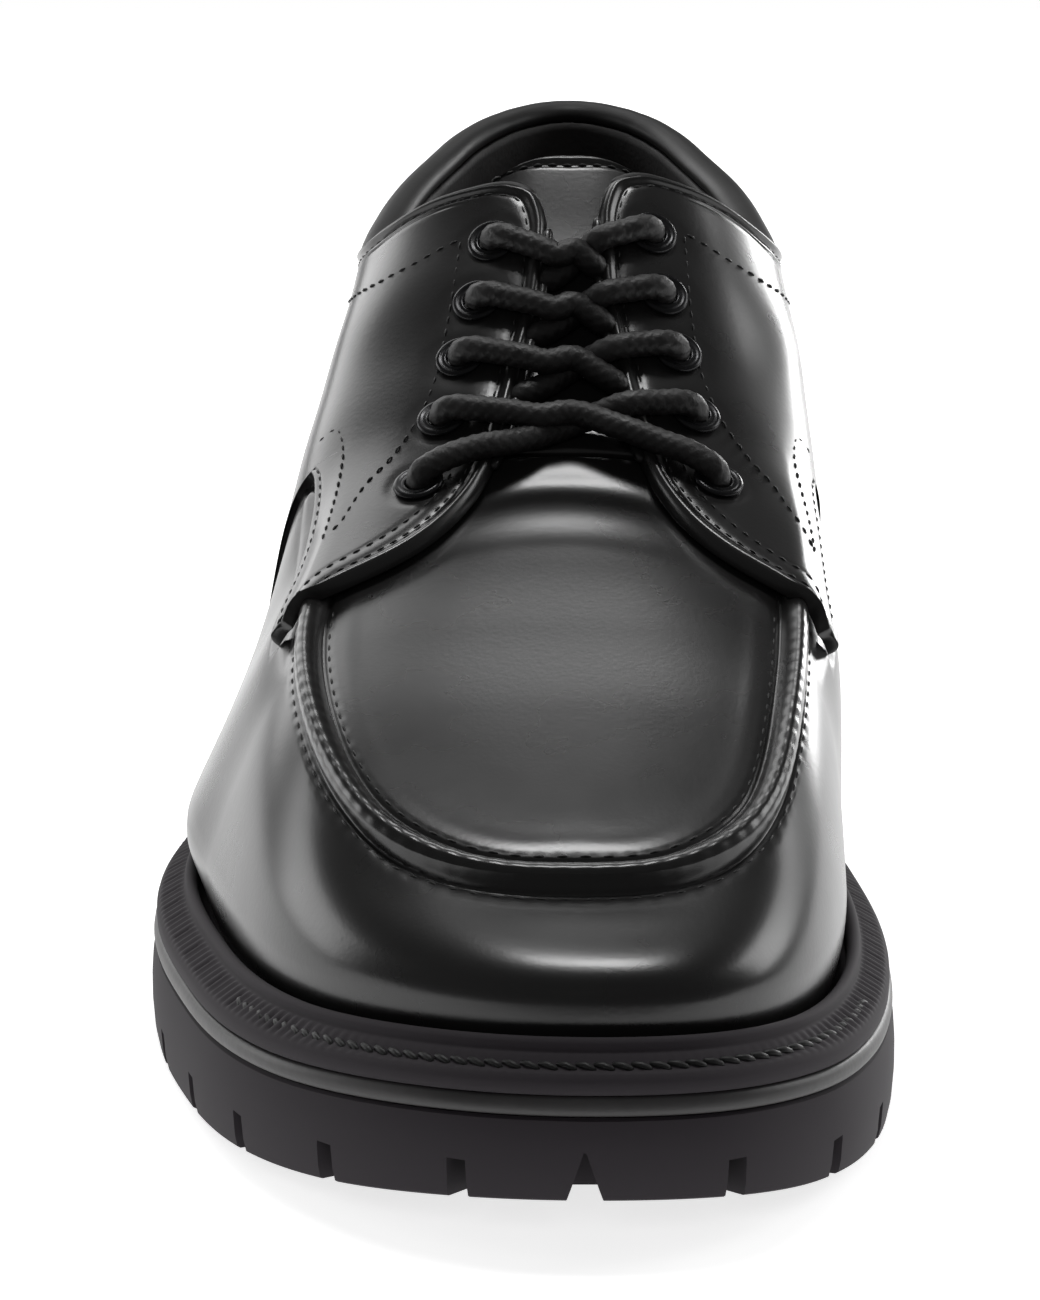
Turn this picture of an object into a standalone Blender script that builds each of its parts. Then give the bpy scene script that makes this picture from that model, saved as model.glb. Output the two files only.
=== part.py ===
"""Apron toe derby, right shoe: lugged sole, heel, midsole, welt, insole, hollow upper,
quarters, tongue, eyelets and lace crossings.

The toe points to -Y, the inner side of the foot is +X, and the sole stands on Z = 0.
Sizes are millimetres and become metres when a mesh is made.
"""
import math

import bmesh
import bpy
import numpy as np

MM = 0.001
ORIGIN_SHIFT = (7.7, 0.0, 0.0)

# Driving dimensions
UPPER_WALL = 2.0
LAYER_GAP = 0.3
QUARTER_WALL = 1.9
QUARTER_GAP = 0.95
TONGUE_WALL = 1.7
WELT_THICKNESS = 2.4
WELT_RISE = 2.4
WELT_LEDGE = 4.0
BEAD_WIDTH = 2.0
BEAD_HEIGHT = 1.6
HEM_CLEAR = 2.6
MIDSOLE_THICKNESS = 2.6
HEEL_SEAT_THICKNESS = 7.0
INSOLE_THICKNESS = 4.4
HEEL_BREAST = 62.0
LUG_DEPTH = 4.8
SLOT_WIDTH = 3.0
SLOT_PITCH = 21.5
SLOT_REACH = 13.0
ROLL_HEIGHT = 1.3
EYELET_HOLE = 2.7
EYELET_BORE = 1.9
EYELET_FLANGE = 3.8
EYELET_LIP = 0.7
LACE_RADIUS = 2.1
LACE_CLEAR = 0.7
TOP_STRAND_LIFT = 2.6
STRAND_END_T = 0.12
CROWN_POWER = 2.3
WALL_HANDLE = 0.28
TUCK_ANGLE = math.radians(50)

# Sections from toe to heel: sole edge y, outer and inner x; shoulder y, outer and inner x,
# outer and inner z; crest y. The shoulder is the apron seam in front and a soft bend behind.
SECTIONS = [
    (-150, -13.0, 20.0, -123.5, -11.0, 12.0, 43.8, 43.8, -110.0),
    (-140, -29.5, 32.0, -117.5, -21.5, 21.0, 45.5, 45.5, -106.0),
    (-119, -45.5, 41.5, -105.0, -30.5, 27.5, 50.0, 49.5, -95.0),
    (-92, -55.0, 45.5, -86.0, -35.8, 30.5, 56.0, 55.5, -78.0),
    (-66, -60.5, 45.0, -62.0, -36.8, 32.0, 62.0, 61.0, -56.0),
    (-42, -60.5, 41.5, -38.0, -33.0, 31.5, 69.0, 68.0, -34.0),
    (-15, -54.0, 37.0, -13.0, -31.0, 29.0, 79.0, 78.0, -12.0),
    (12, -46.0, 35.5, 9.0, -28.5, 28.0, 92.0, 92.0, 8.0),
    (40, -39.0, 35.0, 35.0, -26.0, 26.0, 104.0, 104.0, 32.0),
    (70, -36.5, 34.5, 63.0, -25.0, 25.0, 112.0, 112.0, 54.0),
    (100, -33.2, 32.2, 91.0, -22.0, 22.0, 117.0, 117.0, 74.0),
    (125, -27.0, 26.0, 114.0, -16.8, 16.8, 121.0, 121.0, 87.0),
    (145, -15.5, 15.0, 130.0, -9.5, 9.5, 124.0, 124.0, 93.5),
]
# The two ends of the loop: sole edge x, y; shoulder x, y, z; crest y.
TOE_END = (4.0, -153.0, 0.5, -125.0, 43.5, -111.0)
HEEL_END = (-0.5, 153.0, 0.0, 137.0, 120.0, 95.0)

# Tables by y
CREST_Z = [(-155, 31), (-138, 39), (-125, 44.5), (-110, 50), (-90, 56.5), (-70, 62.5), (-50, 69),
           (-35, 75.5), (-22, 83), (-10, 92), (5, 105), (20, 118.5), (35, 129), (60, 139),
           (90, 146), (130, 150)]
CREST_X = [(-125, 1.5), (-108, 0.5), (-60, -2), (-20, -1), (20, 0), (100, 0)]
WELT_Z = [(-153, 25.7), (-125, 22.3), (-95, 20.5), (-62, 20.0), (-30, 20.9), (0, 23.2), (30, 27.7),
          (60, 32.2), (90, 35.2), (120, 36.7), (153, 37.7)]
GROUND_Z = [(-154, 8.6), (-137, 5.2), (-117, 2.6), (-97, 0.9), (-80, 0.1), (-76, 0.0), (-46, 0.0),
            (-40, 0.3), (-15, 3.6), (12, 9.5), (40, 16.5), (58, 19.8), (153, 25.5)]
BELLY_RISE = [(-153, 8), (-100, 9), (-60, 10), (-20, 13), (20, 18), (70, 24), (110, 28), (153, 30)]
TUCK_OUTER = [(-153, 1.5), (-60, 2), (0, 1.5), (70, 3), (153, 4)]
TUCK_INNER = [(-153, 1.5), (-60, 2.5), (0, 5), (70, 4), (153, 4)]
FEATHER_INSET = [(-153, 10.2), (-20, 10.2), (25, 12.2), (153, 12.2)]
SEAM_SHARPNESS = [(-153, 1), (-40, 1), (-10, 0), (153, 0)]
WALL_SLOPE = [(-153, 0.9), (-110, 1.1), (-60, 1.3), (-30, 1.2), (153, 1.2)]
LEAN_OUTER = [(-153, 0.05), (-110, 0.15), (-60, 0.4), (-20, 0.45), (20, 0.1), (153, 0.1)]
LEAN_INNER = [(-153, 0.05), (-110, 0.15), (-60, 0.05), (-20, 0.0), (20, -0.1), (60, 0.1), (153, 0.1)]

# Lines on the last: u runs from the heel (0) to the toe (0.5) on either side, and t is
# -1 at the feather, 0 at the belly, 1 at the shoulder and 2 at the crest.
QUARTER_TIP = (0.334, 0.88)
QUARTER_FRONT = [(0.3335, 0.99), (0.331, 1.12), (0.326, 1.32), (0.319, 1.48), (0.3065, 1.63)]
FACING_EDGE = [(0.299, 1.68), (0.284, 1.75), (0.264, 1.82), (0.253, 1.858), (0.241, 1.882),
               (0.228, 1.888)]
TOPLINE = [(0.2195, 1.84), (0.2165, 1.72), (0.2145, 1.52), (0.2115, 1.34), (0.207, 1.17),
           (0.199, 0.99), (0.182, 0.79), (0.155, 0.655), (0.120, 0.545), (0.080, 0.495),
           (0.045, 0.49), (0.018, 0.54), (0.0, 0.565)]
QUARTER_NOTCH = [(0.3335, 0.80), (0.310, 0.86), (0.290, 0.86), (0.274, 0.84), (0.266, 0.78),
                 (0.263, 0.66)]
QUARTER_FOOT = [(0.262, 0.3), (0.2585, -0.2), (0.254, -0.75)]
QUARTER_HEM = [(0.240, -0.75), (0.12, -0.75), (0.0, -0.75)]
THROAT = (0.2945, 0.2160)
UPPER_THROAT_T = 1.22
THROAT_SLANT = 0.004
TONGUE_END = 0.2105
TONGUE_EDGE_T = 1.33

# The inner front edge, facing and eyelets sit this much further back and down the wall.
INNER_BACK = 0.003
INNER_DROP = 0.04

# Eyelets from the top of the facing to the throat: u, t
EYELETS = [(0.2305, 1.634), (0.2466, 1.578), (0.2626, 1.514), (0.2803, 1.44), (0.301, 1.36)]


def table_curve(table, x):
    """Monotone cubic curve through a two-column table, flat beyond its ends."""
    rows = np.asarray(table, float)
    xs = rows[:, 0]
    ys = rows[:, 1]
    step = np.diff(xs)
    rise = np.diff(ys) / step
    slope = np.concatenate([[rise[0]], np.zeros(len(xs) - 2), [rise[-1]]])
    w1 = 2 * step[1:] + step[:-1]
    w2 = step[1:] + 2 * step[:-1]
    same = rise[:-1] * rise[1:] > 0
    safe = np.where(same, rise[:-1] * rise[1:], 1.0)
    mean = (w1 + w2) * safe / np.where(same, w1 * rise[1:] + w2 * rise[:-1], 1.0)
    slope[1:-1] = np.where(same, mean, 0.0)
    x = np.clip(x, xs[0], xs[-1])
    i = np.clip(np.searchsorted(xs, x) - 1, 0, len(xs) - 2)
    h = step[i]
    s = (x - xs[i]) / h
    return ((2 * s**3 - 3 * s**2 + 1) * ys[i] + (s**3 - 2 * s**2 + s) * h * slope[i]
            + (3 * s**2 - 2 * s**3) * ys[i + 1] + (s**3 - s**2) * h * slope[i + 1])


def loop_rows():
    """Values around the closed loop: heel, outer side, toe, inner side."""
    outer = [(r[1], r[0], r[4], r[3], r[6], r[8]) for r in SECTIONS]
    inner = [(r[2], r[0], r[5], r[3], r[7], r[8]) for r in SECTIONS]
    return np.array([HEEL_END] + outer[::-1] + [TOE_END] + inner, float)


def loop_knots(rows):
    """Shares of the way round, the same for both sides so that they mirror."""
    half = len(SECTIONS) + 1
    outer = rows[:half + 1, :2]
    inner = np.vstack([rows[:1, :2], rows[half:, :2][::-1]])
    length = (np.linalg.norm(np.diff(outer, axis=0), axis=1)
              + np.linalg.norm(np.diff(inner, axis=0), axis=1))
    knots = np.concatenate([[0], np.cumsum(np.concatenate([length, length[::-1]]))])
    return knots / knots[-1]


def loop_bends(rows, knots):
    """Second derivatives of the periodic cubic spline through the loop's rows."""
    count = len(rows)
    h = np.diff(knots)
    matrix = np.zeros((count, count))
    right = np.zeros(rows.shape)
    for i in range(count):
        before = (i - 1) % count
        after = (i + 1) % count
        matrix[i, before] += h[before]
        matrix[i, i] += 2 * (h[before] + h[i])
        matrix[i, after] += h[i]
        right[i] = 6 * ((rows[after] - rows[i]) / h[i] - (rows[i] - rows[before]) / h[before])
    return np.linalg.solve(matrix, right)


ROWS = loop_rows()
KNOTS = loop_knots(ROWS)
BENDS = loop_bends(ROWS, KNOTS)


def loop_values(a):
    """The section values at share a of the way round."""
    a = np.mod(np.asarray(a, float), 1.0)
    i = np.clip(np.searchsorted(KNOTS, a, side="right") - 1, 0, len(ROWS) - 1)
    j = (i + 1) % len(ROWS)
    h = (KNOTS[i + 1] - KNOTS[i])[..., None]
    p = (KNOTS[i + 1] - a)[..., None] / h
    q = (a - KNOTS[i])[..., None] / h
    bend = ((p**3 - p) * BENDS[i] + (q**3 - q) * BENDS[j]) * h**2 / 6
    return p * ROWS[i] + q * ROWS[j] + bend


def loop_outward(a):
    """Unit vector in plan that points out of the sole's edge."""
    nudge = 1e-4
    along = (loop_values(a + nudge) - loop_values(a - nudge))[..., :2]
    along /= np.linalg.norm(along, axis=-1, keepdims=True)
    return np.stack([along[..., 1], -along[..., 0]], -1)


def sole_edge(a, outset):
    """Plan points of the sole's edge, moved outward by outset."""
    a = np.asarray(a, float)
    return loop_values(a)[..., :2] + loop_outward(a) * np.asarray(outset)[..., None]


def ramp(x, low, high):
    """0 below low and 1 above high, with a soft start and end."""
    s = np.clip((x - low) / (high - low), 0, 1)
    return 0.5 - 0.5 * np.cos(np.pi * s)


def last(a, t):
    """The inside of the upper: feather, belly, shoulder, crest along each spoke."""
    a, t = np.broadcast_arrays(np.asarray(a, float), np.asarray(t, float))
    values = loop_values(a)
    out = loop_outward(a)
    edge = values[..., :2]
    y = edge[..., 1]
    turn = np.mod(a, 1)
    inner = ramp(turn, 0.42, 0.58) * (1 - ramp(turn, 0.94, 1.0))
    tuck = table_curve(TUCK_OUTER, y) * (1 - inner) + table_curve(TUCK_INNER, y) * inner
    lean = table_curve(LEAN_OUTER, y) * (1 - inner) + table_curve(LEAN_INNER, y) * inner
    inset = table_curve(FEATHER_INSET, y)
    feather = edge - out * inset[..., None]
    belly = edge - out * (inset - tuck)[..., None]
    low = table_curve(WELT_Z, y) + LAYER_GAP
    mid = low + table_curve(BELLY_RISE, y)
    shoulder = values[..., 2:4]
    high = values[..., 4]
    crest = np.stack([table_curve(CREST_X, values[..., 5]), values[..., 5]], -1)
    drop = table_curve(CREST_Z, shoulder[..., 1]) - high
    reach = np.linalg.norm(shoulder - crest, axis=-1)
    climb = table_curve(CREST_Z, shoulder[..., 1] + 0.5) - table_curve(CREST_Z, shoulder[..., 1] - 0.5)
    smooth = (CROWN_POWER * drop - climb * (shoulder[..., 1] - values[..., 5])) / reach
    sharp = table_curve(SEAM_SHARPNESS, shoulder[..., 1])
    slope = smooth * (1 - sharp) + table_curve(WALL_SLOPE, shoulder[..., 1]) * sharp
    span = np.linalg.norm(belly - shoulder, axis=-1)
    handle = WALL_HANDLE * np.hypot(span, high - mid)
    outward = (shoulder - crest) / reach[..., None]
    steep = np.hypot(1.0, slope)

    angle = np.clip(-t, 0, 1) * TUCK_ANGLE
    tuck_xy = belly + (feather - belly) * ((1 - np.cos(angle)) / (1 - math.cos(TUCK_ANGLE)))[..., None]
    tuck_z = mid - (mid - low) * np.sin(angle) / math.sin(TUCK_ANGLE)

    s = np.clip(t, 0, 1)
    b0 = (1 - s)**3
    b1 = 3 * s * (1 - s)**2
    b2 = 3 * s**2 * (1 - s)
    b3 = s**3
    rise_xy = belly + (shoulder - belly) * lean[..., None]
    rise_z = mid + 0.45 * (high - mid)
    near_xy = shoulder + outward * (handle / steep)[..., None]
    near_z = high - handle * slope / steep
    wall_xy = (belly * b0[..., None] + rise_xy * b1[..., None] + near_xy * b2[..., None]
               + shoulder * b3[..., None])
    wall_z = mid * b0 + rise_z * b1 + near_z * b2 + high * b3

    g = np.clip(2 - t, 0, 1)
    top_xy = crest + (shoulder - crest) * g[..., None]
    top_z = table_curve(CREST_Z, top_xy[..., 1]) - drop * g**CROWN_POWER

    below = (t < 0)[..., None]
    wall = (t < 1)[..., None]
    xy = np.where(below, tuck_xy, np.where(wall, wall_xy, top_xy))
    z = np.where(t < 0, tuck_z, np.where(t < 1, wall_z, top_z))
    return np.concatenate([xy, z[..., None]], -1)


def last_normal(a, t):
    """Unit vector out of the last, by differences along the loop and the spoke."""
    step_a = 2e-4
    step_t = 1e-3
    around = last(a + step_a, t) - last(a - step_a, t)
    up = last(a, np.minimum(t + step_t, 1.9999)) - last(a, np.minimum(t, 1.999) - step_t)
    normal = np.cross(around, up)
    normal /= np.maximum(np.linalg.norm(normal, axis=-1, keepdims=True), 1e-9)
    y = last(a, t)[..., 1]
    ridge = np.stack([0 * y, table_curve(CREST_Z, y - 0.5) - table_curve(CREST_Z, y + 0.5), 0 * y + 1], -1)
    ridge /= np.linalg.norm(ridge, axis=-1, keepdims=True)
    near = (1 - ramp(2 - t, 0.02, 0.22))[..., None]
    normal = normal * (1 - near) + ridge * near
    return normal / np.linalg.norm(normal, axis=-1, keepdims=True)


def skin(a, t, grow):
    """Points a distance grow outside the last. The two sides meet exactly on the crest."""
    a, t = np.broadcast_arrays(np.asarray(a, float), np.asarray(t, float))
    points = last(a, t) + last_normal(a, t) * np.asarray(grow)[..., None]
    crest = t >= 2
    if crest.any():
        other = last(1 - a, t) + last_normal(1 - a, t) * np.asarray(grow)[..., None]
        points = np.where(crest[..., None], 0.5 * (points + other), points)
    return points


def on_side(u, t, inner):
    """Loop share and t of a point of the quarter, which differs a little on the inner side."""
    shift = ramp(u, 0.19, 0.225) * inner
    back = u - INNER_BACK * shift
    return np.where(inner, 1 - back, back) % 1.0, t - INNER_DROP * shift


def line_through(points, count):
    """Evenly spaced points on straight pieces through a list of u, t points."""
    points = np.asarray(points, float)
    scaled = points * np.array([8.0, 1.0])
    along = np.concatenate([[0], np.cumsum(np.linalg.norm(np.diff(scaled, axis=0), axis=1))])
    want = np.linspace(0, along[-1], count)
    return np.stack([np.interp(want, along, points[:, 0]), np.interp(want, along, points[:, 1])], -1)


def make_material(name, colour, roughness, metallic=0.0):
    material = bpy.data.materials.new(name)
    material.use_nodes = True
    shader = material.node_tree.nodes["Principled BSDF"]
    shader.inputs["Base Color"].default_value = (*colour, 1.0)
    shader.inputs["Roughness"].default_value = roughness
    shader.inputs["Metallic"].default_value = metallic
    return material


def make_object(name, vertices, faces, material, merge=0.002):
    """A named object from points in millimetres, with doubles merged and faces outward."""
    mesh = bpy.data.meshes.new(name)
    placed = np.asarray(vertices) + np.array(ORIGIN_SHIFT)
    mesh.from_pydata((placed * MM).tolist(), [], faces)
    built = bmesh.new()
    built.from_mesh(mesh)
    bmesh.ops.remove_doubles(built, verts=built.verts, dist=merge * MM)
    bmesh.ops.dissolve_degenerate(built, edges=built.edges, dist=merge * MM)
    bmesh.ops.recalc_face_normals(built, faces=built.faces)
    built.to_mesh(mesh)
    built.free()
    item = bpy.data.objects.new(name, mesh)
    bpy.context.scene.collection.objects.link(item)
    if material:
        mesh.materials.append(material)
        mesh.shade_smooth()
        mesh.set_sharp_from_angle(angle=math.radians(35))
    return item


def cut_with(item, cutters):
    """Subtract each cutter from the item, then hide the cutter."""
    for cutter in cutters:
        cutter.hide_render = True
        cutter.display_type = "WIRE"
        cut = item.modifiers.new("cut", "BOOLEAN")
        cut.operation = "DIFFERENCE"
        cut.solver = "EXACT"
        cut.object = cutter


def grid_faces(rows, columns, start=0, closed=False):
    """Quads of a grid whose points run along its columns first."""
    faces = []
    last_row = rows if closed else rows - 1
    for i in range(last_row):
        here = start + i * columns
        there = start + ((i + 1) % rows) * columns
        for j in range(columns - 1):
            faces.append((here + j, there + j, there + j + 1, here + j + 1))
    return faces


def closed_sheet(outside, inside, closed=False, open_top=None):
    """One body between two grids. open_top marks the rows whose top edge needs a rim."""
    rows, columns = outside.shape[:2]
    size = rows * columns
    vertices = np.concatenate([outside.reshape(-1, 3), inside.reshape(-1, 3)])
    faces = grid_faces(rows, columns, 0, closed)
    faces += [face[::-1] for face in grid_faces(rows, columns, size, closed)]
    last_row = rows if closed else rows - 1
    top = columns - 1
    for i in range(last_row):
        n = (i + 1) % rows
        faces.append((i * columns, size + i * columns, size + n * columns, n * columns))
        if open_top is None or open_top[i] or open_top[n]:
            faces.append((n * columns + top, size + n * columns + top,
                          size + i * columns + top, i * columns + top))
    if not closed:
        end = (rows - 1) * columns
        for j in range(columns - 1):
            faces.append((j, j + 1, size + j + 1, size + j))
            faces.append((end + j + 1, end + j, size + end + j, size + end + j + 1))
    return vertices, faces


def slab(name, a_from, a_to, rows, levels, material):
    """A plate across the sole: levels are (outset, height function of y), bottom first."""
    shares = np.linspace(0, 1, rows)
    eased = a_from + (a_to - a_from) * (0.5 - 0.5 * np.cos(np.pi * shares) if a_from == 0 and a_to == 0.5
                                        else shares)
    grids = []
    for outset, height in levels:
        outer = sole_edge(eased, outset + 0 * eased)
        inner = sole_edge(1 - eased, outset + 0 * eased)
        for side in (outer, inner):
            side_z = height(side[:, 1])
            grids.append(np.column_stack([side, side_z]))
    vertices = np.concatenate(grids)
    faces = []
    count = len(levels)
    for i in range(rows - 1):
        for k in range(count - 1):
            low_outer = 2 * k * rows
            high_outer = 2 * (k + 1) * rows
            faces.append((low_outer + i, low_outer + i + 1, high_outer + i + 1, high_outer + i))
            low_inner = low_outer + rows
            high_inner = high_outer + rows
            faces.append((low_inner + i, high_inner + i, high_inner + i + 1, low_inner + i + 1))
        faces.append((i, rows + i, rows + i + 1, i + 1))
        roof = 2 * (count - 1) * rows
        faces.append((roof + i, roof + i + 1, roof + rows + i + 1, roof + rows + i))
    for k in range(count - 1):
        low = 2 * k * rows
        high = low + 2 * rows
        faces.append((low, high, high + rows, low + rows))
        tail = rows - 1
        faces.append((low + tail, low + rows + tail, high + rows + tail, high + tail))
    return make_object(name, vertices, faces, material)


def welt_top(y):
    return table_curve(WELT_Z, y)


def midsole_top(y):
    return welt_top(y) - WELT_THICKNESS - LAYER_GAP


def midsole_bottom(y):
    return midsole_top(y) - MIDSOLE_THICKNESS


def outsole_top(y):
    return midsole_bottom(y) - LAYER_GAP


def outsole_bottom(y):
    thin = outsole_top(y) - HEEL_SEAT_THICKNESS
    return np.where(y > 50, np.minimum(thin, table_curve(GROUND_Z, y)), table_curve(GROUND_Z, y))


def heel_top(y):
    return outsole_bottom(y) - LAYER_GAP


def flat_ground(y):
    return 0 * y


def slot_cutters(prefix, a_from, a_to, bottom, reach=SLOT_REACH):
    """Box cutters for the gaps between edge lugs, evenly spaced along the edge."""
    fine = np.linspace(a_from, a_to, 400)
    path = sole_edge(fine, 0 * fine)
    along = np.concatenate([[0], np.cumsum(np.linalg.norm(np.diff(path, axis=0), axis=1))])
    count = int(round(along[-1] / SLOT_PITCH))
    stops = np.interp((np.arange(count) + 0.5) * along[-1] / count, along, fine)
    cutters = []
    for number, a in enumerate(stops):
        edge = sole_edge(np.array([a]), np.array([0.0]))[0]
        out = loop_outward(np.array([a]))[0]
        ground = float(bottom(np.array([edge[1]]))[0])
        cutters.append(box_cutter(f"{prefix}_{number}", edge, out, reach, ground))
    return cutters


def box_cutter(name, edge, out, reach, ground, width=SLOT_WIDTH):
    """A box that cuts LUG_DEPTH up from the ground line, from outside the edge inward."""
    side = np.array([-out[1], out[0]])
    low = ground - 6.0
    high = ground + LUG_DEPTH
    corners = []
    for z in (low, high):
        for along, across in ((4.0, -1), (4.0, 1), (-reach, 1), (-reach, -1)):
            plan = edge + out * along + side * across * width / 2
            corners.append((plan[0], plan[1], z))
    faces = [(3, 2, 1, 0), (4, 5, 6, 7), (0, 1, 5, 4), (1, 2, 6, 5), (2, 3, 7, 6), (3, 0, 4, 7)]
    return make_object(name, corners, faces, None)


def make_outsole(rubber):
    """Lugged sheet: full at the forefoot, thin over the arch and under the heel block."""
    item = slab("outsole", 0.0, 0.5, 44, [(0.4, outsole_bottom), (1.0, lambda y: outsole_bottom(y) + 5.0),
                                          (-0.3, outsole_top)], rubber)
    outer = slot_cutters("outsole_slot_outer", 0.245, 0.488, outsole_bottom)
    inner = slot_cutters("outsole_slot_inner", 0.512, 0.755, outsole_bottom)
    toe = box_cutter("outsole_slot_toe", sole_edge(np.array([0.5]), np.array([0.0]))[0],
                     np.array([0.0, -1.0]), SLOT_REACH, 8.6, 4.4)
    middle = []
    for number, y in enumerate((-118, -96, -74, -52, -30, -8)):
        half = 15.0 if y < -100 else 23.0
        ground = float(outsole_bottom(np.array([float(y)]))[0])
        start = np.array([-7.0 - half, float(y)])
        middle.append(box_cutter(f"outsole_groove_{number}", start, np.array([-1.0, 0.0]), 2 * half,
                                 ground - 1.5, 4.0))
    cut_with(item, outer + inner + [toe] + middle)
    return item


def make_heel(rubber):
    """Block under the back of the outsole, its front face cut straight across."""
    breast = float(np.interp(-HEEL_BREAST, -loop_values(np.linspace(0, 0.3, 200))[:, 1],
                             np.linspace(0, 0.3, 200)))
    item = slab("heel", 0.0, breast, 18, [(0.0, flat_ground), (0.8, lambda y: 0 * y + 6.0),
                                          (0.6, heel_top)], rubber)
    outer = slot_cutters("heel_slot_outer", 0.02, breast - 0.01, flat_ground)
    inner = slot_cutters("heel_slot_inner", 1.01 - breast, 0.98, flat_ground)
    cut_with(item, outer + inner)
    return item


def make_welt(leather):
    """Ledge that rises inward to a round bead against the upper."""
    count = 64
    a = np.arange(count) / count
    y = loop_values(a)[:, 1]
    top = welt_top(y)
    inner_edge = table_curve(FEATHER_INSET, y) - 0.6
    bead_out = -WELT_LEDGE
    bead_in = -WELT_LEDGE - BEAD_WIDTH
    profile = [(0.0 * y, top - WELT_THICKNESS), (0.0 * y, top - 0.3), (0 * y - 0.4, top),
               (bead_out + 0 * y, top + WELT_RISE),
               (bead_out - 0.5 + 0 * y, top + WELT_RISE + BEAD_HEIGHT),
               (bead_in + 0.5 + 0 * y, top + WELT_RISE + BEAD_HEIGHT),
               (bead_in + 0 * y, top - LAYER_GAP), (-inner_edge, top - LAYER_GAP),
               (-inner_edge, top - WELT_THICKNESS)]
    points = np.stack([np.column_stack([sole_edge(a, out), z]) for out, z in profile], 1)
    columns = len(profile)
    faces = []
    for i in range(count):
        n = (i + 1) % count
        for j in range(columns):
            k = (j + 1) % columns
            faces.append((i * columns + j, n * columns + j, n * columns + k, i * columns + k))
    return make_object("welt", points.reshape(-1, 3), faces, leather)


def make_midsole(rubber):
    return slab("midsole", 0.0, 0.5, 40, [(0.5, midsole_bottom), (0.0, midsole_top)], rubber)


def make_insole(board):
    """Board inside the feather, level with the welt and a little above it."""
    def under(y):
        return midsole_top(y) + LAYER_GAP

    def over(y):
        return midsole_top(y) + LAYER_GAP + INSOLE_THICKNESS

    count = 30
    u = 0.5 * (0.5 - 0.5 * np.cos(np.pi * np.linspace(0, 1, count)))
    grids = []
    for height in (under, over):
        for share in (u, 1 - u):
            y = loop_values(share)[:, 1]
            plan = sole_edge(share, -table_curve(FEATHER_INSET, y) - 0.5)
            grids.append(np.column_stack([plan, height(plan[:, 1])]))
    faces = []
    for i in range(count - 1):
        faces.append((i, count + i, count + i + 1, i + 1))
        faces.append((2 * count + i, 2 * count + i + 1, 3 * count + i + 1, 3 * count + i))
        faces.append((i, i + 1, 2 * count + i + 1, 2 * count + i))
        faces.append((count + i, 3 * count + i, 3 * count + i + 1, count + i + 1))
    return make_object("insole", np.concatenate(grids), faces, board)


def upper_top(u):
    """Where each spoke of the upper ends: the crest in front, then throat, then topline."""
    throat, collar = THROAT
    line = np.array([(throat, 2.0), (throat - THROAT_SLANT, UPPER_THROAT_T),
                     (collar + 0.006, UPPER_THROAT_T)])
    top = np.asarray(TOPLINE)
    top = top[top[:, 1] < UPPER_THROAT_T - 0.04] - np.array([0.0, 0.035])
    line = np.vstack([line, top])[::-1]
    return np.where(u >= throat, 2.0, np.interp(u, line[:, 0], line[:, 1]))


def make_upper(leather):
    """Hollow shell of vamp, apron, walls and inner quarters, with the apron's roll raised."""
    front = np.linspace(THROAT[0], 0.5, 17)
    back = np.linspace(0, THROAT[0] - THROAT_SLANT, 15)
    u = np.concatenate([back, front])
    a = np.concatenate([u, 1 - u[1:-1][::-1]])
    shares = np.array([0, 0.11, 0.22, 0.3333, 0.45, 0.56, 0.635, 0.6667, 0.70, 0.78, 0.89, 1.0])
    side = np.minimum(a, 1 - a)
    top = upper_top(side)
    t = -1 + (top[:, None] + 1) * shares
    t = np.where((top >= 2)[:, None] & (shares == 1.0), 2.0, t)
    ridge = np.where(shares == 0.6667, ROLL_HEIGHT, 0.0) * ramp(side, 0.336, 0.350)[:, None]
    outside = skin(a[:, None], t, UPPER_WALL + ridge)
    inside = skin(a[:, None], t, 0 * t)
    outside[:, 0, 2] = inside[:, 0, 2]
    vertices, faces = closed_sheet(outside, inside, True, top < 2)
    return make_object("upper", vertices, faces, leather)


def hem_height(u):
    """The lowest t of the quarter, where its hem clears the welt's bead."""
    rise = table_curve(BELLY_RISE, loop_values(u)[:, 1])
    lift = WELT_RISE + BEAD_HEIGHT + HEM_CLEAR - LAYER_GAP
    return -np.arcsin((1 - lift / rise) * math.sin(TUCK_ANGLE)) / TUCK_ANGLE


def quarter_lines(count):
    """Matching points on the quarter's lower and upper edges, from tip to heel."""
    tip = [QUARTER_TIP]
    low = np.vstack([line_through(tip + QUARTER_NOTCH, count[0]),
                     line_through([QUARTER_NOTCH[-1]] + QUARTER_FOOT, count[1])[1:],
                     line_through([QUARTER_FOOT[-1]] + QUARTER_HEM, count[2])[1:]])
    low[:, 1] = np.maximum(low[:, 1], hem_height(low[:, 0]))
    front = [(QUARTER_TIP[0] + 0.002, QUARTER_TIP[1] + 0.05)] + QUARTER_FRONT
    high = np.vstack([line_through(front + FACING_EDGE[:1], count[0]),
                      line_through(FACING_EDGE + TOPLINE[:2], count[1])[1:],
                      line_through(TOPLINE[1:], count[2])[1:]])
    return low, high


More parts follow.
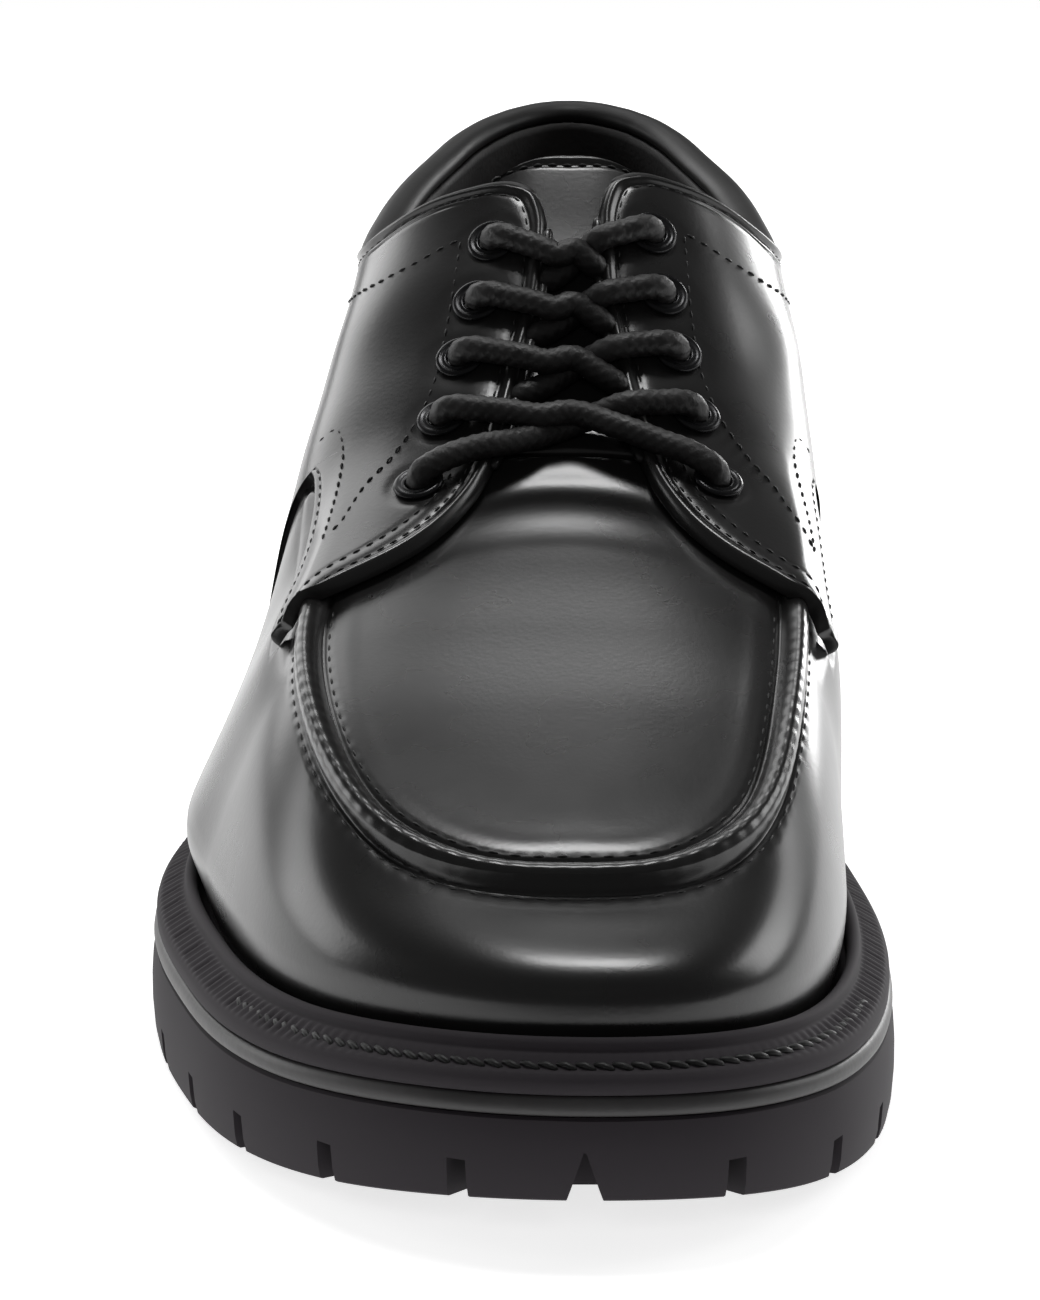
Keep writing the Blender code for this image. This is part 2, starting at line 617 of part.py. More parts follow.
def make_quarters(leather):
    """Overlay with facings and topline, both sides joined round the heel."""
    low, high = quarter_lines((10, 10, 13))
    across = np.linspace(0, 1, 11)
    line = low[:, None] * (1 - across[:, None]) + high[:, None] * across[:, None]
    line = np.concatenate([line, line[:-1][::-1]])
    inner = (np.arange(len(line)) >= len(low))[:, None]
    a, t = on_side(line[..., 0], line[..., 1], inner)
    start = UPPER_WALL + QUARTER_GAP
    outside = skin(a, t, start + QUARTER_WALL + 0 * t)
    inside = skin(a, t, start + 0 * t)
    vertices, faces = closed_sheet(outside, inside)
    item = make_object("quarters", vertices, faces, leather)
    holes = [turned(f"hole_{n}", place, [(EYELET_HOLE, -6.0), (EYELET_HOLE, 4.0)], None, 10, True)
             for n, place in enumerate(eyelet_places())]
    cut_with(item, holes)
    return item


def eyelet_places():
    """Centre on the quarter's outer face and normal there, outer side first."""
    places = []
    for mirror in (False, True):
        for u, t in EYELETS:
            a, spot = on_side(np.array([u]), np.array([t]), mirror)
            face = UPPER_WALL + QUARTER_GAP + QUARTER_WALL
            places.append((skin(a, spot, np.array([face]))[0], last_normal(a, spot)[0]))
    return places


def turned(name, place, profile, material, sides, solid=False):
    """A profile of radius and height spun round a place's normal."""
    centre, normal = place
    side = np.cross(normal, [0.0, 1.0, 0.0])
    side /= np.linalg.norm(side)
    other = np.cross(normal, side)
    turn = np.arange(sides) * 2 * math.pi / sides
    ring = np.cos(turn)[:, None] * side + np.sin(turn)[:, None] * other
    points = np.stack([centre + ring * r + normal * h for r, h in profile], 1)
    columns = len(profile)
    vertices = points.reshape(-1, 3)
    if solid:
        faces = grid_faces(sides, columns, 0, True)
        faces.append(tuple(i * columns for i in range(sides)))
        faces.append(tuple(i * columns + columns - 1 for i in range(sides))[::-1])
        return make_object(name, vertices, faces, material)
    faces = []
    for i in range(sides):
        n = (i + 1) % sides
        for j in range(columns):
            k = (j + 1) % columns
            faces.append((i * columns + j, n * columns + j, n * columns + k, i * columns + k))
    return make_object(name, vertices, faces, material)


def make_eyelets(metal):
    """Turned rings: a barrel through the facing and a flange on its face."""
    barrel = EYELET_HOLE - LAYER_GAP
    profile = [(EYELET_BORE, -QUARTER_WALL), (barrel, -QUARTER_WALL), (barrel, LAYER_GAP),
               (EYELET_FLANGE, LAYER_GAP), (EYELET_FLANGE - 0.4, EYELET_LIP + LAYER_GAP),
               (EYELET_BORE, EYELET_LIP + LAYER_GAP)]
    for number, place in enumerate(eyelet_places()):
        side = "outer" if number < len(EYELETS) else "inner"
        turned(f"eyelet_{side}_{number % len(EYELETS) + 1}", place, profile, metal, 10)


def make_tongue(leather):
    """Sheet between the facings, with a rounded top that stands above them."""
    end = TONGUE_END
    across = np.linspace(-1, 1, 11)
    start = THROAT[0] - 0.002 - 1.1 * THROAT_SLANT * np.abs(across)
    steps = np.concatenate([np.linspace(0, 0.88, 10), [0.94, 0.98, 1.0]])
    u = start[None, :] + (end - start[None, :]) * steps[:, None]
    corner = np.clip((steps - 0.86) / 0.14, 0, 1)
    half = (2 - TONGUE_EDGE_T) * np.sqrt(1 - 0.75 * corner**2)
    t = 2 - np.abs(across)[None, :] * half[:, None]
    a = np.where(across[None, :] <= 0, u, 1 - u)
    outside = skin(a, t, TONGUE_WALL + 0 * t)
    inside = skin(a, t, 0 * t)
    vertices, faces = closed_sheet(outside, inside)
    return make_object("tongue", vertices, faces, leather)


def strand_path(near, far, side, lift, steps):
    """Points from an eyelet over the crest to the far side. near and far are u, t, height.

    side is 1 when the eyelet is on the outer side, and lift raises the middle of the strand.
    """
    s = np.linspace(0, 1, steps)
    across = side * ((2 - near[1]) - ((2 - near[1]) + (2 - far[1])) * s)
    u = near[0] + (far[0] - near[0]) * s
    a, t = on_side(u, 2 - np.abs(across), across <= 0)
    height = near[2] + (far[2] - near[2]) * s + lift * np.sin(np.pi * s)**2
    return skin(a, t, height)


def tube(name, path, radius, sides, material):
    """A closed tube of regular rings along a path."""
    along = np.gradient(path, axis=0)
    along /= np.linalg.norm(along, axis=1, keepdims=True)
    reference = np.array([0.0, -0.6, 0.8])
    side = np.cross(along, reference)
    side /= np.linalg.norm(side, axis=1, keepdims=True)
    other = np.cross(along, side)
    turn = np.arange(sides) * 2 * math.pi / sides
    rings = (path[:, None] + radius * (np.cos(turn)[None, :, None] * side[:, None]
                                       + np.sin(turn)[None, :, None] * other[:, None]))
    rows = len(path)
    faces = []
    for i in range(rows - 1):
        for j in range(sides):
            k = (j + 1) % sides
            faces.append((i * sides + j, i * sides + k, (i + 1) * sides + k, (i + 1) * sides + j))
    faces.append(tuple(range(sides))[::-1])
    faces.append(tuple((rows - 1) * sides + j for j in range(sides)))
    return make_object(name, rings.reshape(-1, 3), faces, material)


def make_lace(cotton):
    """Four crossings. Each joins a strand from either side; the outer one lies on top."""
    face = UPPER_WALL + QUARTER_GAP + QUARTER_WALL
    over = face + LAYER_GAP + EYELET_LIP + LACE_CLEAR + LACE_RADIUS
    dip = face + LACE_CLEAR + LACE_RADIUS
    edge = np.array(FACING_EDGE[::-1])
    for number in range(len(EYELETS) - 1):
        u, t = EYELETS[number]
        if number < len(EYELETS) - 2:
            low_u = 0.5 * (u + EYELETS[number + 1][0]) + 0.002
            edge_t = float(np.interp(low_u, edge[:, 0], edge[:, 1]))
            far = (low_u, min(edge_t + STRAND_END_T, 1.99), dip)
        else:
            far = (*EYELETS[-1], over)
        top = strand_path((u, t, over), far, 1, TOP_STRAND_LIFT, 10)
        under = strand_path((u, t, over), far, -1, 0.0, 10)
        strand = tube(f"lace_cross_{number + 1}", top, LACE_RADIUS, 6, cotton)
        other = tube(f"lace_under_{number + 1}", under, LACE_RADIUS, 6, None)
        other.hide_render = True
        other.display_type = "WIRE"
        join = strand.modifiers.new("join", "BOOLEAN")
        join.operation = "UNION"
        join.solver = "EXACT"
        join.object = other


def build():
    for item in list(bpy.data.objects):
        bpy.data.objects.remove(item)
    black_rubber = make_material("black_rubber", (0.018, 0.017, 0.018), 0.6)
    black_leather = make_material("black_leather", (0.012, 0.012, 0.013), 0.28)
    black_metal = make_material("black_metal", (0.02, 0.02, 0.022), 0.35, 0.8)
    black_cotton = make_material("black_cotton", (0.014, 0.013, 0.014), 0.7)
    board = make_material("board", (0.02, 0.02, 0.02), 0.85)
    make_outsole(black_rubber)
    make_heel(black_rubber)
    make_midsole(black_rubber)
    make_welt(black_rubber)
    make_insole(board)
    make_upper(black_leather)
    make_quarters(black_leather)
    make_tongue(black_leather)
    make_eyelets(black_metal)
    make_lace(black_cotton)


build()
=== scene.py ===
"""Apron toe derby, right shoe: leather, laces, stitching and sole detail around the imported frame.

Shapes are worked out in millimetres on the shoe's own last and become metres in the meshes.
The toe points to -Y and the inner side of the foot is +X.
"""
import math

import bmesh
import bpy
import numpy as np
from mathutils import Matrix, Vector


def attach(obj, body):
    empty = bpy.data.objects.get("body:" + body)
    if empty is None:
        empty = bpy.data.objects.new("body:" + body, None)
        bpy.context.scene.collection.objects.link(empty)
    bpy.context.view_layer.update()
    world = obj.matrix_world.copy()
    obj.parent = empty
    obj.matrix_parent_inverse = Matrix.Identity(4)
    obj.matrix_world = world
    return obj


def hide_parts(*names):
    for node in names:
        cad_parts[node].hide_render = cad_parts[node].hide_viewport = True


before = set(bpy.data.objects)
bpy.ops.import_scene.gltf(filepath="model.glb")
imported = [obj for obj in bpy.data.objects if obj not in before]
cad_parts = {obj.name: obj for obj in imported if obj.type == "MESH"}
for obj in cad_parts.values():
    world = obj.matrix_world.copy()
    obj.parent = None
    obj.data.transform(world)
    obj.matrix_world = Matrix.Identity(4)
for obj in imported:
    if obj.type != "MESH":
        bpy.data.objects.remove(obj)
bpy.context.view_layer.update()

bl_info = {
    "name": "Apron toe derby",
    "version": (1, 0, 0),
    "blender": (4, 5, 0),
    "location": "3D View > Sidebar > Derby",
    "description": "Builds the visible pieces of a black apron toe derby around its packed frame",
    "category": "Add Mesh",
}

MM = 0.001
ORIGIN_SHIFT = np.array([7.7, 0.0, 0.0])

# The frame's driving sizes, in millimetres
UPPER_WALL = 2.0
LAYER_GAP = 0.3
QUARTER_WALL = 1.9
QUARTER_GAP = 0.95
TONGUE_WALL = 1.7
WELT_THICKNESS = 2.4
WELT_RISE = 2.4
WELT_LEDGE = 4.0
BEAD_HEIGHT = 1.6
HEM_CLEAR = 2.6
MIDSOLE_THICKNESS = 2.6
HEEL_SEAT_THICKNESS = 7.0
LUG_DEPTH = 4.8
SLOT_WIDTH = 3.0
SLOT_PITCH = 21.5
SLOT_REACH = 13.0
CROWN_POWER = 2.3
WALL_HANDLE = 0.28
TUCK_ANGLE = math.radians(50)
FACE = UPPER_WALL + QUARTER_GAP + QUARTER_WALL

# Finer work that only the picture shows, in millimetres
LINING_WALL = 1.0
PIPING_RADIUS = 0.85
APRON_ROLL_HALF = 2.25
STITCH_SETBACK = 1.15
NOTCH_FILL_HEIGHT = 1.9
EYELET_SINK = 0.15
EXTRA_SLOT_DEPTH = 0.9
EXTRA_NOTCH_DEPTH = 1.4

# The photograph's frame: its size and focal length in pixels, and where the lens looks
PICTURE_WIDTH = 1040
PICTURE_HEIGHT = 1300
FOCAL_PIXELS = 5780
LENS_CENTRE = (570, 770.2)
CAMERA_PLACE = (0.0077, -0.87286, 0.28852)
CAMERA_TILT = math.radians(17)
SENSOR_WIDTH = 36.0

# Lamps: name, place, target, width and height in metres, and watts
LAMPS = [
    ("left_panel", (-0.90, 0.30, 0.26), (0, -0.02, 0.04), (0.5, 0.42), 2.1),
    ("right_panel", (0.85, 0.26, 0.42), (0, -0.02, 0.05), (0.4, 0.5), 2.8),
    ("back_left_panel", (-0.56, 1.0, 0.60), (0, 0, 0.06), (0.64, 1.15), 5.6),
    ("back_right_panel", (0.62, 0.95, 0.25), (0, 0, 0.06), (0.22, 0.5), 4.6),
    ("top_panel", (0.02, 0.76, 0.80), (0, -0.03, 0.05), (0.20, 0.18), 0.70),
    ("overhead_panel", (0.0, 0.11, 0.94), (0, -0.06, 0.05), (0.32, 0.15), 3.1),
    ("front_fill", (0.0, -1.05, 0.55), (0, 0, 0.03), (0.5, 0.3), 2.2),
]
FLOOR_CORNERS = [(-0.8, -0.21, 0), (0.8, -0.21, 0), (0.8, 0.85, 0), (-0.8, 0.85, 0)]
FLOOR_GLOW = 0.74
ROOM_LIGHT = 0.10

# Sections from toe to heel: sole edge y, outer and inner x; shoulder y, outer and inner x,
# outer and inner z; crest y. The shoulder is the apron seam in front and a soft bend behind.
SECTIONS = [
    (-150, -13.0, 20.0, -123.5, -11.0, 12.0, 43.8, 43.8, -110.0),
    (-140, -29.5, 32.0, -117.5, -21.5, 21.0, 45.5, 45.5, -106.0),
    (-119, -45.5, 41.5, -105.0, -30.5, 27.5, 50.0, 49.5, -95.0),
    (-92, -55.0, 45.5, -86.0, -35.8, 30.5, 56.0, 55.5, -78.0),
    (-66, -60.5, 45.0, -62.0, -36.8, 32.0, 62.0, 61.0, -56.0),
    (-42, -60.5, 41.5, -38.0, -33.0, 31.5, 69.0, 68.0, -34.0),
    (-15, -54.0, 37.0, -13.0, -31.0, 29.0, 79.0, 78.0, -12.0),
    (12, -46.0, 35.5, 9.0, -28.5, 28.0, 92.0, 92.0, 8.0),
    (40, -39.0, 35.0, 35.0, -26.0, 26.0, 104.0, 104.0, 32.0),
    (70, -36.5, 34.5, 63.0, -25.0, 25.0, 112.0, 112.0, 54.0),
    (100, -33.2, 32.2, 91.0, -22.0, 22.0, 117.0, 117.0, 74.0),
    (125, -27.0, 26.0, 114.0, -16.8, 16.8, 121.0, 121.0, 87.0),
    (145, -15.5, 15.0, 130.0, -9.5, 9.5, 124.0, 124.0, 93.5),
]
# The two ends of the loop: sole edge x, y; shoulder x, y, z; crest y.
TOE_END = (4.0, -153.0, 0.5, -125.0, 43.5, -111.0)
HEEL_END = (-0.5, 153.0, 0.0, 137.0, 120.0, 95.0)

# Tables by y
CREST_Z = [(-155, 31), (-138, 39), (-125, 44.5), (-110, 50), (-90, 56.5), (-70, 62.5), (-50, 69),
           (-35, 75.5), (-22, 83), (-10, 92), (5, 105), (20, 118.5), (35, 129), (60, 139),
           (90, 146), (130, 150)]
CREST_X = [(-125, 1.5), (-108, 0.5), (-60, -2), (-20, -1), (20, 0), (100, 0)]
WELT_Z = [(-153, 25.7), (-125, 22.3), (-95, 20.5), (-62, 20.0), (-30, 20.9), (0, 23.2), (30, 27.7),
          (60, 32.2), (90, 35.2), (120, 36.7), (153, 37.7)]
GROUND_Z = [(-154, 8.6), (-137, 5.2), (-117, 2.6), (-97, 0.9), (-80, 0.1), (-76, 0.0), (-46, 0.0),
            (-40, 0.3), (-15, 3.6), (12, 9.5), (40, 16.5), (58, 19.8), (153, 25.5)]
BELLY_RISE = [(-153, 8), (-100, 9), (-60, 10), (-20, 13), (20, 18), (70, 24), (110, 28), (153, 30)]
TUCK_OUTER = [(-153, 1.5), (-60, 2), (0, 1.5), (70, 3), (153, 4)]
TUCK_INNER = [(-153, 1.5), (-60, 2.5), (0, 5), (70, 4), (153, 4)]
FEATHER_INSET = [(-153, 10.2), (-20, 10.2), (25, 12.2), (153, 12.2)]
SEAM_SHARPNESS = [(-153, 1), (-40, 1), (-10, 0), (153, 0)]
WALL_SLOPE = [(-153, 0.9), (-110, 1.1), (-60, 1.3), (-30, 1.2), (153, 1.2)]
LEAN_OUTER = [(-153, 0.05), (-110, 0.15), (-60, 0.4), (-20, 0.45), (20, 0.1), (153, 0.1)]
LEAN_INNER = [(-153, 0.05), (-110, 0.15), (-60, 0.05), (-20, 0.0), (20, -0.1), (60, 0.1), (153, 0.1)]

# Lines on the last: u runs from the heel (0) to the toe (0.5) on either side, and t is
# -1 at the feather, 0 at the belly, 1 at the shoulder and 2 at the crest.
QUARTER_TIP = (0.334, 0.88)
QUARTER_FRONT = [(0.3335, 0.99), (0.331, 1.12), (0.326, 1.32), (0.319, 1.48), (0.3065, 1.63)]
FACING_EDGE = [(0.299, 1.68), (0.284, 1.75), (0.264, 1.82), (0.253, 1.858), (0.241, 1.882),
               (0.228, 1.888)]
TOPLINE = [(0.2195, 1.84), (0.2165, 1.72), (0.2145, 1.52), (0.2115, 1.34), (0.207, 1.17),
           (0.199, 1.02), (0.182, 0.83), (0.155, 0.68), (0.120, 0.56), (0.080, 0.50),
           (0.055, 0.477), (0.038, 0.470), (0.029, 0.476), (0.018, 0.502), (0.008, 0.530), (0.002, 0.539),
           (0.0, 0.5395)]
QUARTER_NOTCH = [(0.3335, 0.80), (0.310, 0.86), (0.290, 0.86), (0.274, 0.84), (0.266, 0.78),
                 (0.263, 0.66)]
QUARTER_FOOT = [(0.262, 0.3), (0.2585, -0.2), (0.254, -0.75)]
QUARTER_HEM = [(0.240, -0.75), (0.12, -0.75), (0.0, -0.75)]
THROAT = (0.2945, 0.2160)
UPPER_THROAT_T = 1.22
THROAT_SLANT = 0.004
TONGUE_END = 0.2105
TONGUE_EDGE_T = 1.33

# The inner front edge, facing and eyelets sit this much further back and down the wall.
INNER_BACK = 0.003
INNER_DROP = 0.04

# Eyelets from the top of the facing to the throat: u, t
EYELETS = [(0.2305, 1.634), (0.2466, 1.578), (0.2626, 1.514), (0.2803, 1.44), (0.301, 1.36)]

# Decorative stitch lines on the quarter: round the collar, down the facing to a sharp point,
# and up over the arch of the cut-out. Columns are u and t.
DECOR_LINES = [
    [(0.2267, 1.483), (0.2262, 1.308), (0.2225, 1.122), (0.2130, 0.94), (0.1960, 0.76), (0.1720, 0.60),
     (0.1500, 0.48), (0.1200, 0.37), (0.0800, 0.31), (0.0450, 0.31), (0.0, 0.38)],
    [(0.2267, 1.483), (0.242, 1.46), (0.2653, 1.407), (0.2767, 1.337), (0.2873, 1.221), (0.2947, 1.105),
     (0.3113, 1.0)],
    [(0.3113, 1.0), (0.2887, 1.0), (0.2793, 1.0), (0.2647, 0.96), (0.2607, 0.832)],
]


def table_curve(table, x):
    """Monotone cubic curve through a two-column table, flat beyond its ends."""
    rows = np.asarray(table, float)
    xs = rows[:, 0]
    ys = rows[:, 1]
    step = np.diff(xs)
    rise = np.diff(ys) / step
    slope = np.concatenate([[rise[0]], np.zeros(len(xs) - 2), [rise[-1]]])
    w1 = 2 * step[1:] + step[:-1]
    w2 = step[1:] + 2 * step[:-1]
    same = rise[:-1] * rise[1:] > 0
    safe = np.where(same, rise[:-1] * rise[1:], 1.0)
    mean = (w1 + w2) * safe / np.where(same, w1 * rise[1:] + w2 * rise[:-1], 1.0)
    slope[1:-1] = np.where(same, mean, 0.0)
    x = np.clip(x, xs[0], xs[-1])
    i = np.clip(np.searchsorted(xs, x) - 1, 0, len(xs) - 2)
    h = step[i]
    s = (x - xs[i]) / h
    return ((2 * s**3 - 3 * s**2 + 1) * ys[i] + (s**3 - 2 * s**2 + s) * h * slope[i]
            + (3 * s**2 - 2 * s**3) * ys[i + 1] + (s**3 - s**2) * h * slope[i + 1])


def loop_rows():
    """Values around the closed loop: heel, outer side, toe, inner side."""
    outer = [(r[1], r[0], r[4], r[3], r[6], r[8]) for r in SECTIONS]
    inner = [(r[2], r[0], r[5], r[3], r[7], r[8]) for r in SECTIONS]
    return np.array([HEEL_END] + outer[::-1] + [TOE_END] + inner, float)


def loop_knots(rows):
    """Shares of the way round, the same for both sides so that they mirror."""
    half = len(SECTIONS) + 1
    outer = rows[:half + 1, :2]
    inner = np.vstack([rows[:1, :2], rows[half:, :2][::-1]])
    length = (np.linalg.norm(np.diff(outer, axis=0), axis=1)
              + np.linalg.norm(np.diff(inner, axis=0), axis=1))
    knots = np.concatenate([[0], np.cumsum(np.concatenate([length, length[::-1]]))])
    return knots / knots[-1]


def loop_bends(rows, knots):
    """Second derivatives of the periodic cubic spline through the loop's rows."""
    count = len(rows)
    h = np.diff(knots)
    matrix = np.zeros((count, count))
    right = np.zeros(rows.shape)
    for i in range(count):
        before = (i - 1) % count
        after = (i + 1) % count
        matrix[i, before] += h[before]
        matrix[i, i] += 2 * (h[before] + h[i])
        matrix[i, after] += h[i]
        right[i] = 6 * ((rows[after] - rows[i]) / h[i] - (rows[i] - rows[before]) / h[before])
    return np.linalg.solve(matrix, right)


ROWS = loop_rows()
KNOTS = loop_knots(ROWS)
BENDS = loop_bends(ROWS, KNOTS)


def loop_values(a):
    """The section values at share a of the way round."""
    a = np.mod(np.asarray(a, float), 1.0)
    i = np.clip(np.searchsorted(KNOTS, a, side="right") - 1, 0, len(ROWS) - 1)
    j = (i + 1) % len(ROWS)
    h = (KNOTS[i + 1] - KNOTS[i])[..., None]
    p = (KNOTS[i + 1] - a)[..., None] / h
    q = (a - KNOTS[i])[..., None] / h
    bend = ((p**3 - p) * BENDS[i] + (q**3 - q) * BENDS[j]) * h**2 / 6
    return p * ROWS[i] + q * ROWS[j] + bend


def loop_outward(a):
    """Unit vector in plan that points out of the sole's edge."""
    nudge = 1e-4
    along = (loop_values(a + nudge) - loop_values(a - nudge))[..., :2]
    along /= np.linalg.norm(along, axis=-1, keepdims=True)
    return np.stack([along[..., 1], -along[..., 0]], -1)


def sole_edge(a, outset):
    """Plan points of the sole's edge, moved outward by outset."""
    a = np.asarray(a, float)
    return loop_values(a)[..., :2] + loop_outward(a) * np.asarray(outset)[..., None]


def ramp(x, low, high):
    """0 below low and 1 above high, with a soft start and end."""
    s = np.clip((x - low) / (high - low), 0, 1)
    return 0.5 - 0.5 * np.cos(np.pi * s)


def last(a, t):
    """The inside of the upper: feather, belly, shoulder, crest along each spoke."""
    a, t = np.broadcast_arrays(np.asarray(a, float), np.asarray(t, float))
    values = loop_values(a)
    out = loop_outward(a)
    edge = values[..., :2]
    y = edge[..., 1]
    turn = np.mod(a, 1)
    inner = ramp(turn, 0.42, 0.58) * (1 - ramp(turn, 0.94, 1.0))
    tuck = table_curve(TUCK_OUTER, y) * (1 - inner) + table_curve(TUCK_INNER, y) * inner
    lean = table_curve(LEAN_OUTER, y) * (1 - inner) + table_curve(LEAN_INNER, y) * inner
    inset = table_curve(FEATHER_INSET, y)
    feather = edge - out * inset[..., None]
    belly = edge - out * (inset - tuck)[..., None]
    low = table_curve(WELT_Z, y) + LAYER_GAP
    mid = low + table_curve(BELLY_RISE, y)
    shoulder = values[..., 2:4]
    high = values[..., 4]
    crest = np.stack([table_curve(CREST_X, values[..., 5]), values[..., 5]], -1)
    drop = table_curve(CREST_Z, shoulder[..., 1]) - high
    reach = np.linalg.norm(shoulder - crest, axis=-1)
    climb = table_curve(CREST_Z, shoulder[..., 1] + 0.5) - table_curve(CREST_Z, shoulder[..., 1] - 0.5)
    smooth = (CROWN_POWER * drop - climb * (shoulder[..., 1] - values[..., 5])) / reach
    sharp = table_curve(SEAM_SHARPNESS, shoulder[..., 1])
    slope = smooth * (1 - sharp) + table_curve(WALL_SLOPE, shoulder[..., 1]) * sharp
    span = np.linalg.norm(belly - shoulder, axis=-1)
    handle = WALL_HANDLE * np.hypot(span, high - mid)
    outward = (shoulder - crest) / reach[..., None]
    steep = np.hypot(1.0, slope)

    angle = np.clip(-t, 0, 1) * TUCK_ANGLE
    tuck_xy = belly + (feather - belly) * ((1 - np.cos(angle)) / (1 - math.cos(TUCK_ANGLE)))[..., None]
    tuck_z = mid - (mid - low) * np.sin(angle) / math.sin(TUCK_ANGLE)

    s = np.clip(t, 0, 1)
    b0 = (1 - s)**3
    b1 = 3 * s * (1 - s)**2
    b2 = 3 * s**2 * (1 - s)
    b3 = s**3
    rise_xy = belly + (shoulder - belly) * lean[..., None]
    rise_z = mid + 0.45 * (high - mid)
    near_xy = shoulder + outward * (handle / steep)[..., None]
    near_z = high - handle * slope / steep
    wall_xy = (belly * b0[..., None] + rise_xy * b1[..., None] + near_xy * b2[..., None]
               + shoulder * b3[..., None])
    wall_z = mid * b0 + rise_z * b1 + near_z * b2 + high * b3

    g = np.clip(2 - t, 0, 1)
    top_xy = crest + (shoulder - crest) * g[..., None]
    top_z = table_curve(CREST_Z, top_xy[..., 1]) - drop * g**CROWN_POWER

    below = (t < 0)[..., None]
    wall = (t < 1)[..., None]
    xy = np.where(below, tuck_xy, np.where(wall, wall_xy, top_xy))
    z = np.where(t < 0, tuck_z, np.where(t < 1, wall_z, top_z))
    return np.concatenate([xy, z[..., None]], -1)


def last_normal(a, t, step_t=0.03):
    """Unit vector out of the last, by differences wide enough to round its creases."""
    step_a = 5e-4
    around = last(a + step_a, t) - last(a - step_a, t)
    up = last(a, np.minimum(t + step_t, 1.9999)) - last(a, np.minimum(t, 1.999) - step_t)
    normal = np.cross(around, up)
    normal /= np.maximum(np.linalg.norm(normal, axis=-1, keepdims=True), 1e-9)
    y = last(a, t)[..., 1]
    fall = table_curve(CREST_Z, y - 0.5) - table_curve(CREST_Z, y + 0.5)
    ridge = np.stack([0 * y, fall, 0 * y + 1], -1)
    ridge /= np.linalg.norm(ridge, axis=-1, keepdims=True)
    near = (1 - ramp(2 - t, 0.02, 0.22))[..., None]
    normal = normal * (1 - near) + ridge * near
    return normal / np.linalg.norm(normal, axis=-1, keepdims=True)


def skin(a, t, grow):
    """Points a distance grow outside the last. The two sides meet exactly on the crest."""
    a, t = np.broadcast_arrays(np.asarray(a, float), np.asarray(t, float))
    points = last(a, t) + last_normal(a, t) * np.asarray(grow)[..., None]
    crest = t >= 2
    if crest.any():
        other = last(1 - a, t) + last_normal(1 - a, t) * np.asarray(grow)[..., None]
        points = np.where(crest[..., None], 0.5 * (points + other), points)
    return points


def on_side(u, t, inner):
    """Loop share and t of a point of the quarter, which differs a little on the inner side."""
    shift = ramp(u, 0.19, 0.225) * inner
    back = u - INNER_BACK * shift
    return np.where(inner, 1 - back, back) % 1.0, t - INNER_DROP * shift


def smooth_line(points, count):
    """Evenly spaced points on a smooth curve through a list of u, t points."""
    points = np.asarray(points, float)
    scaled = points * np.array([8.0, 1.0])
    along = np.concatenate([[0], np.cumsum(np.linalg.norm(np.diff(scaled, axis=0), axis=1))])
    want = np.linspace(0, along[-1], count)
    u = table_curve(np.column_stack([along, points[:, 0]]), want)
    t = table_curve(np.column_stack([along, points[:, 1]]), want)
    return np.stack([u, t], -1)


def bump(x, centre, width):
    """A smooth hump of height 1."""
    return np.exp(-((x - centre) / width)**2)


def arc_length(points, axis=0):
    """Length along a grid of points, from 0, in the direction of axis."""
    step = np.linalg.norm(np.diff(points, axis=axis), axis=-1)
    start = np.zeros_like(np.take(step, [0], axis=axis))
    return np.concatenate([start, np.cumsum(step, axis=axis)], axis=axis)


# Meshes

def put_mesh(name, points, quads, material, other_faces=(), smooth_angle=None):
    """A mesh object from arrays in millimetres: quads as an array, other faces as tuples."""
    mesh = bpy.data.meshes.new(name)
    quads = np.asarray(quads, np.int32).reshape(-1, 4)
    sizes = [4] * len(quads) + [len(face) for face in other_faces]
    loops = np.concatenate([quads.ravel()] + [np.asarray(face, np.int32) for face in other_faces])
    starts = np.concatenate([[0], np.cumsum(sizes)[:-1]]).astype(np.int32)
    mesh.vertices.add(len(points))
    mesh.vertices.foreach_set("co", ((np.asarray(points) + ORIGIN_SHIFT) * MM).astype(np.float32).ravel())
    mesh.loops.add(len(loops))
    mesh.loops.foreach_set("vertex_index", loops.astype(np.int32))
    mesh.polygons.add(len(sizes))
    mesh.polygons.foreach_set("loop_start", starts)
    mesh.update(calc_edges=True)
    mesh.validate()
    mesh.shade_smooth()
    if smooth_angle is not None:
        mesh.set_sharp_from_angle(angle=math.radians(smooth_angle))
    mesh.materials.append(material)
    item = bpy.data.objects.new(name, mesh)
    bpy.context.scene.collection.objects.link(item)
    return item


def grid_quads(rows, columns, start=0, wrap_rows=False, wrap_columns=False):
    """Quads of a grid whose points run along its columns first."""
    i = np.arange(rows if wrap_rows else rows - 1)[:, None]
    j = np.arange(columns if wrap_columns else columns - 1)[None, :]
    n = (i + 1) % rows
    k = (j + 1) % columns
    quads = np.stack([i * columns + j, n * columns + j, n * columns + k, i * columns + k], -1)
    return quads.reshape(-1, 4) + start


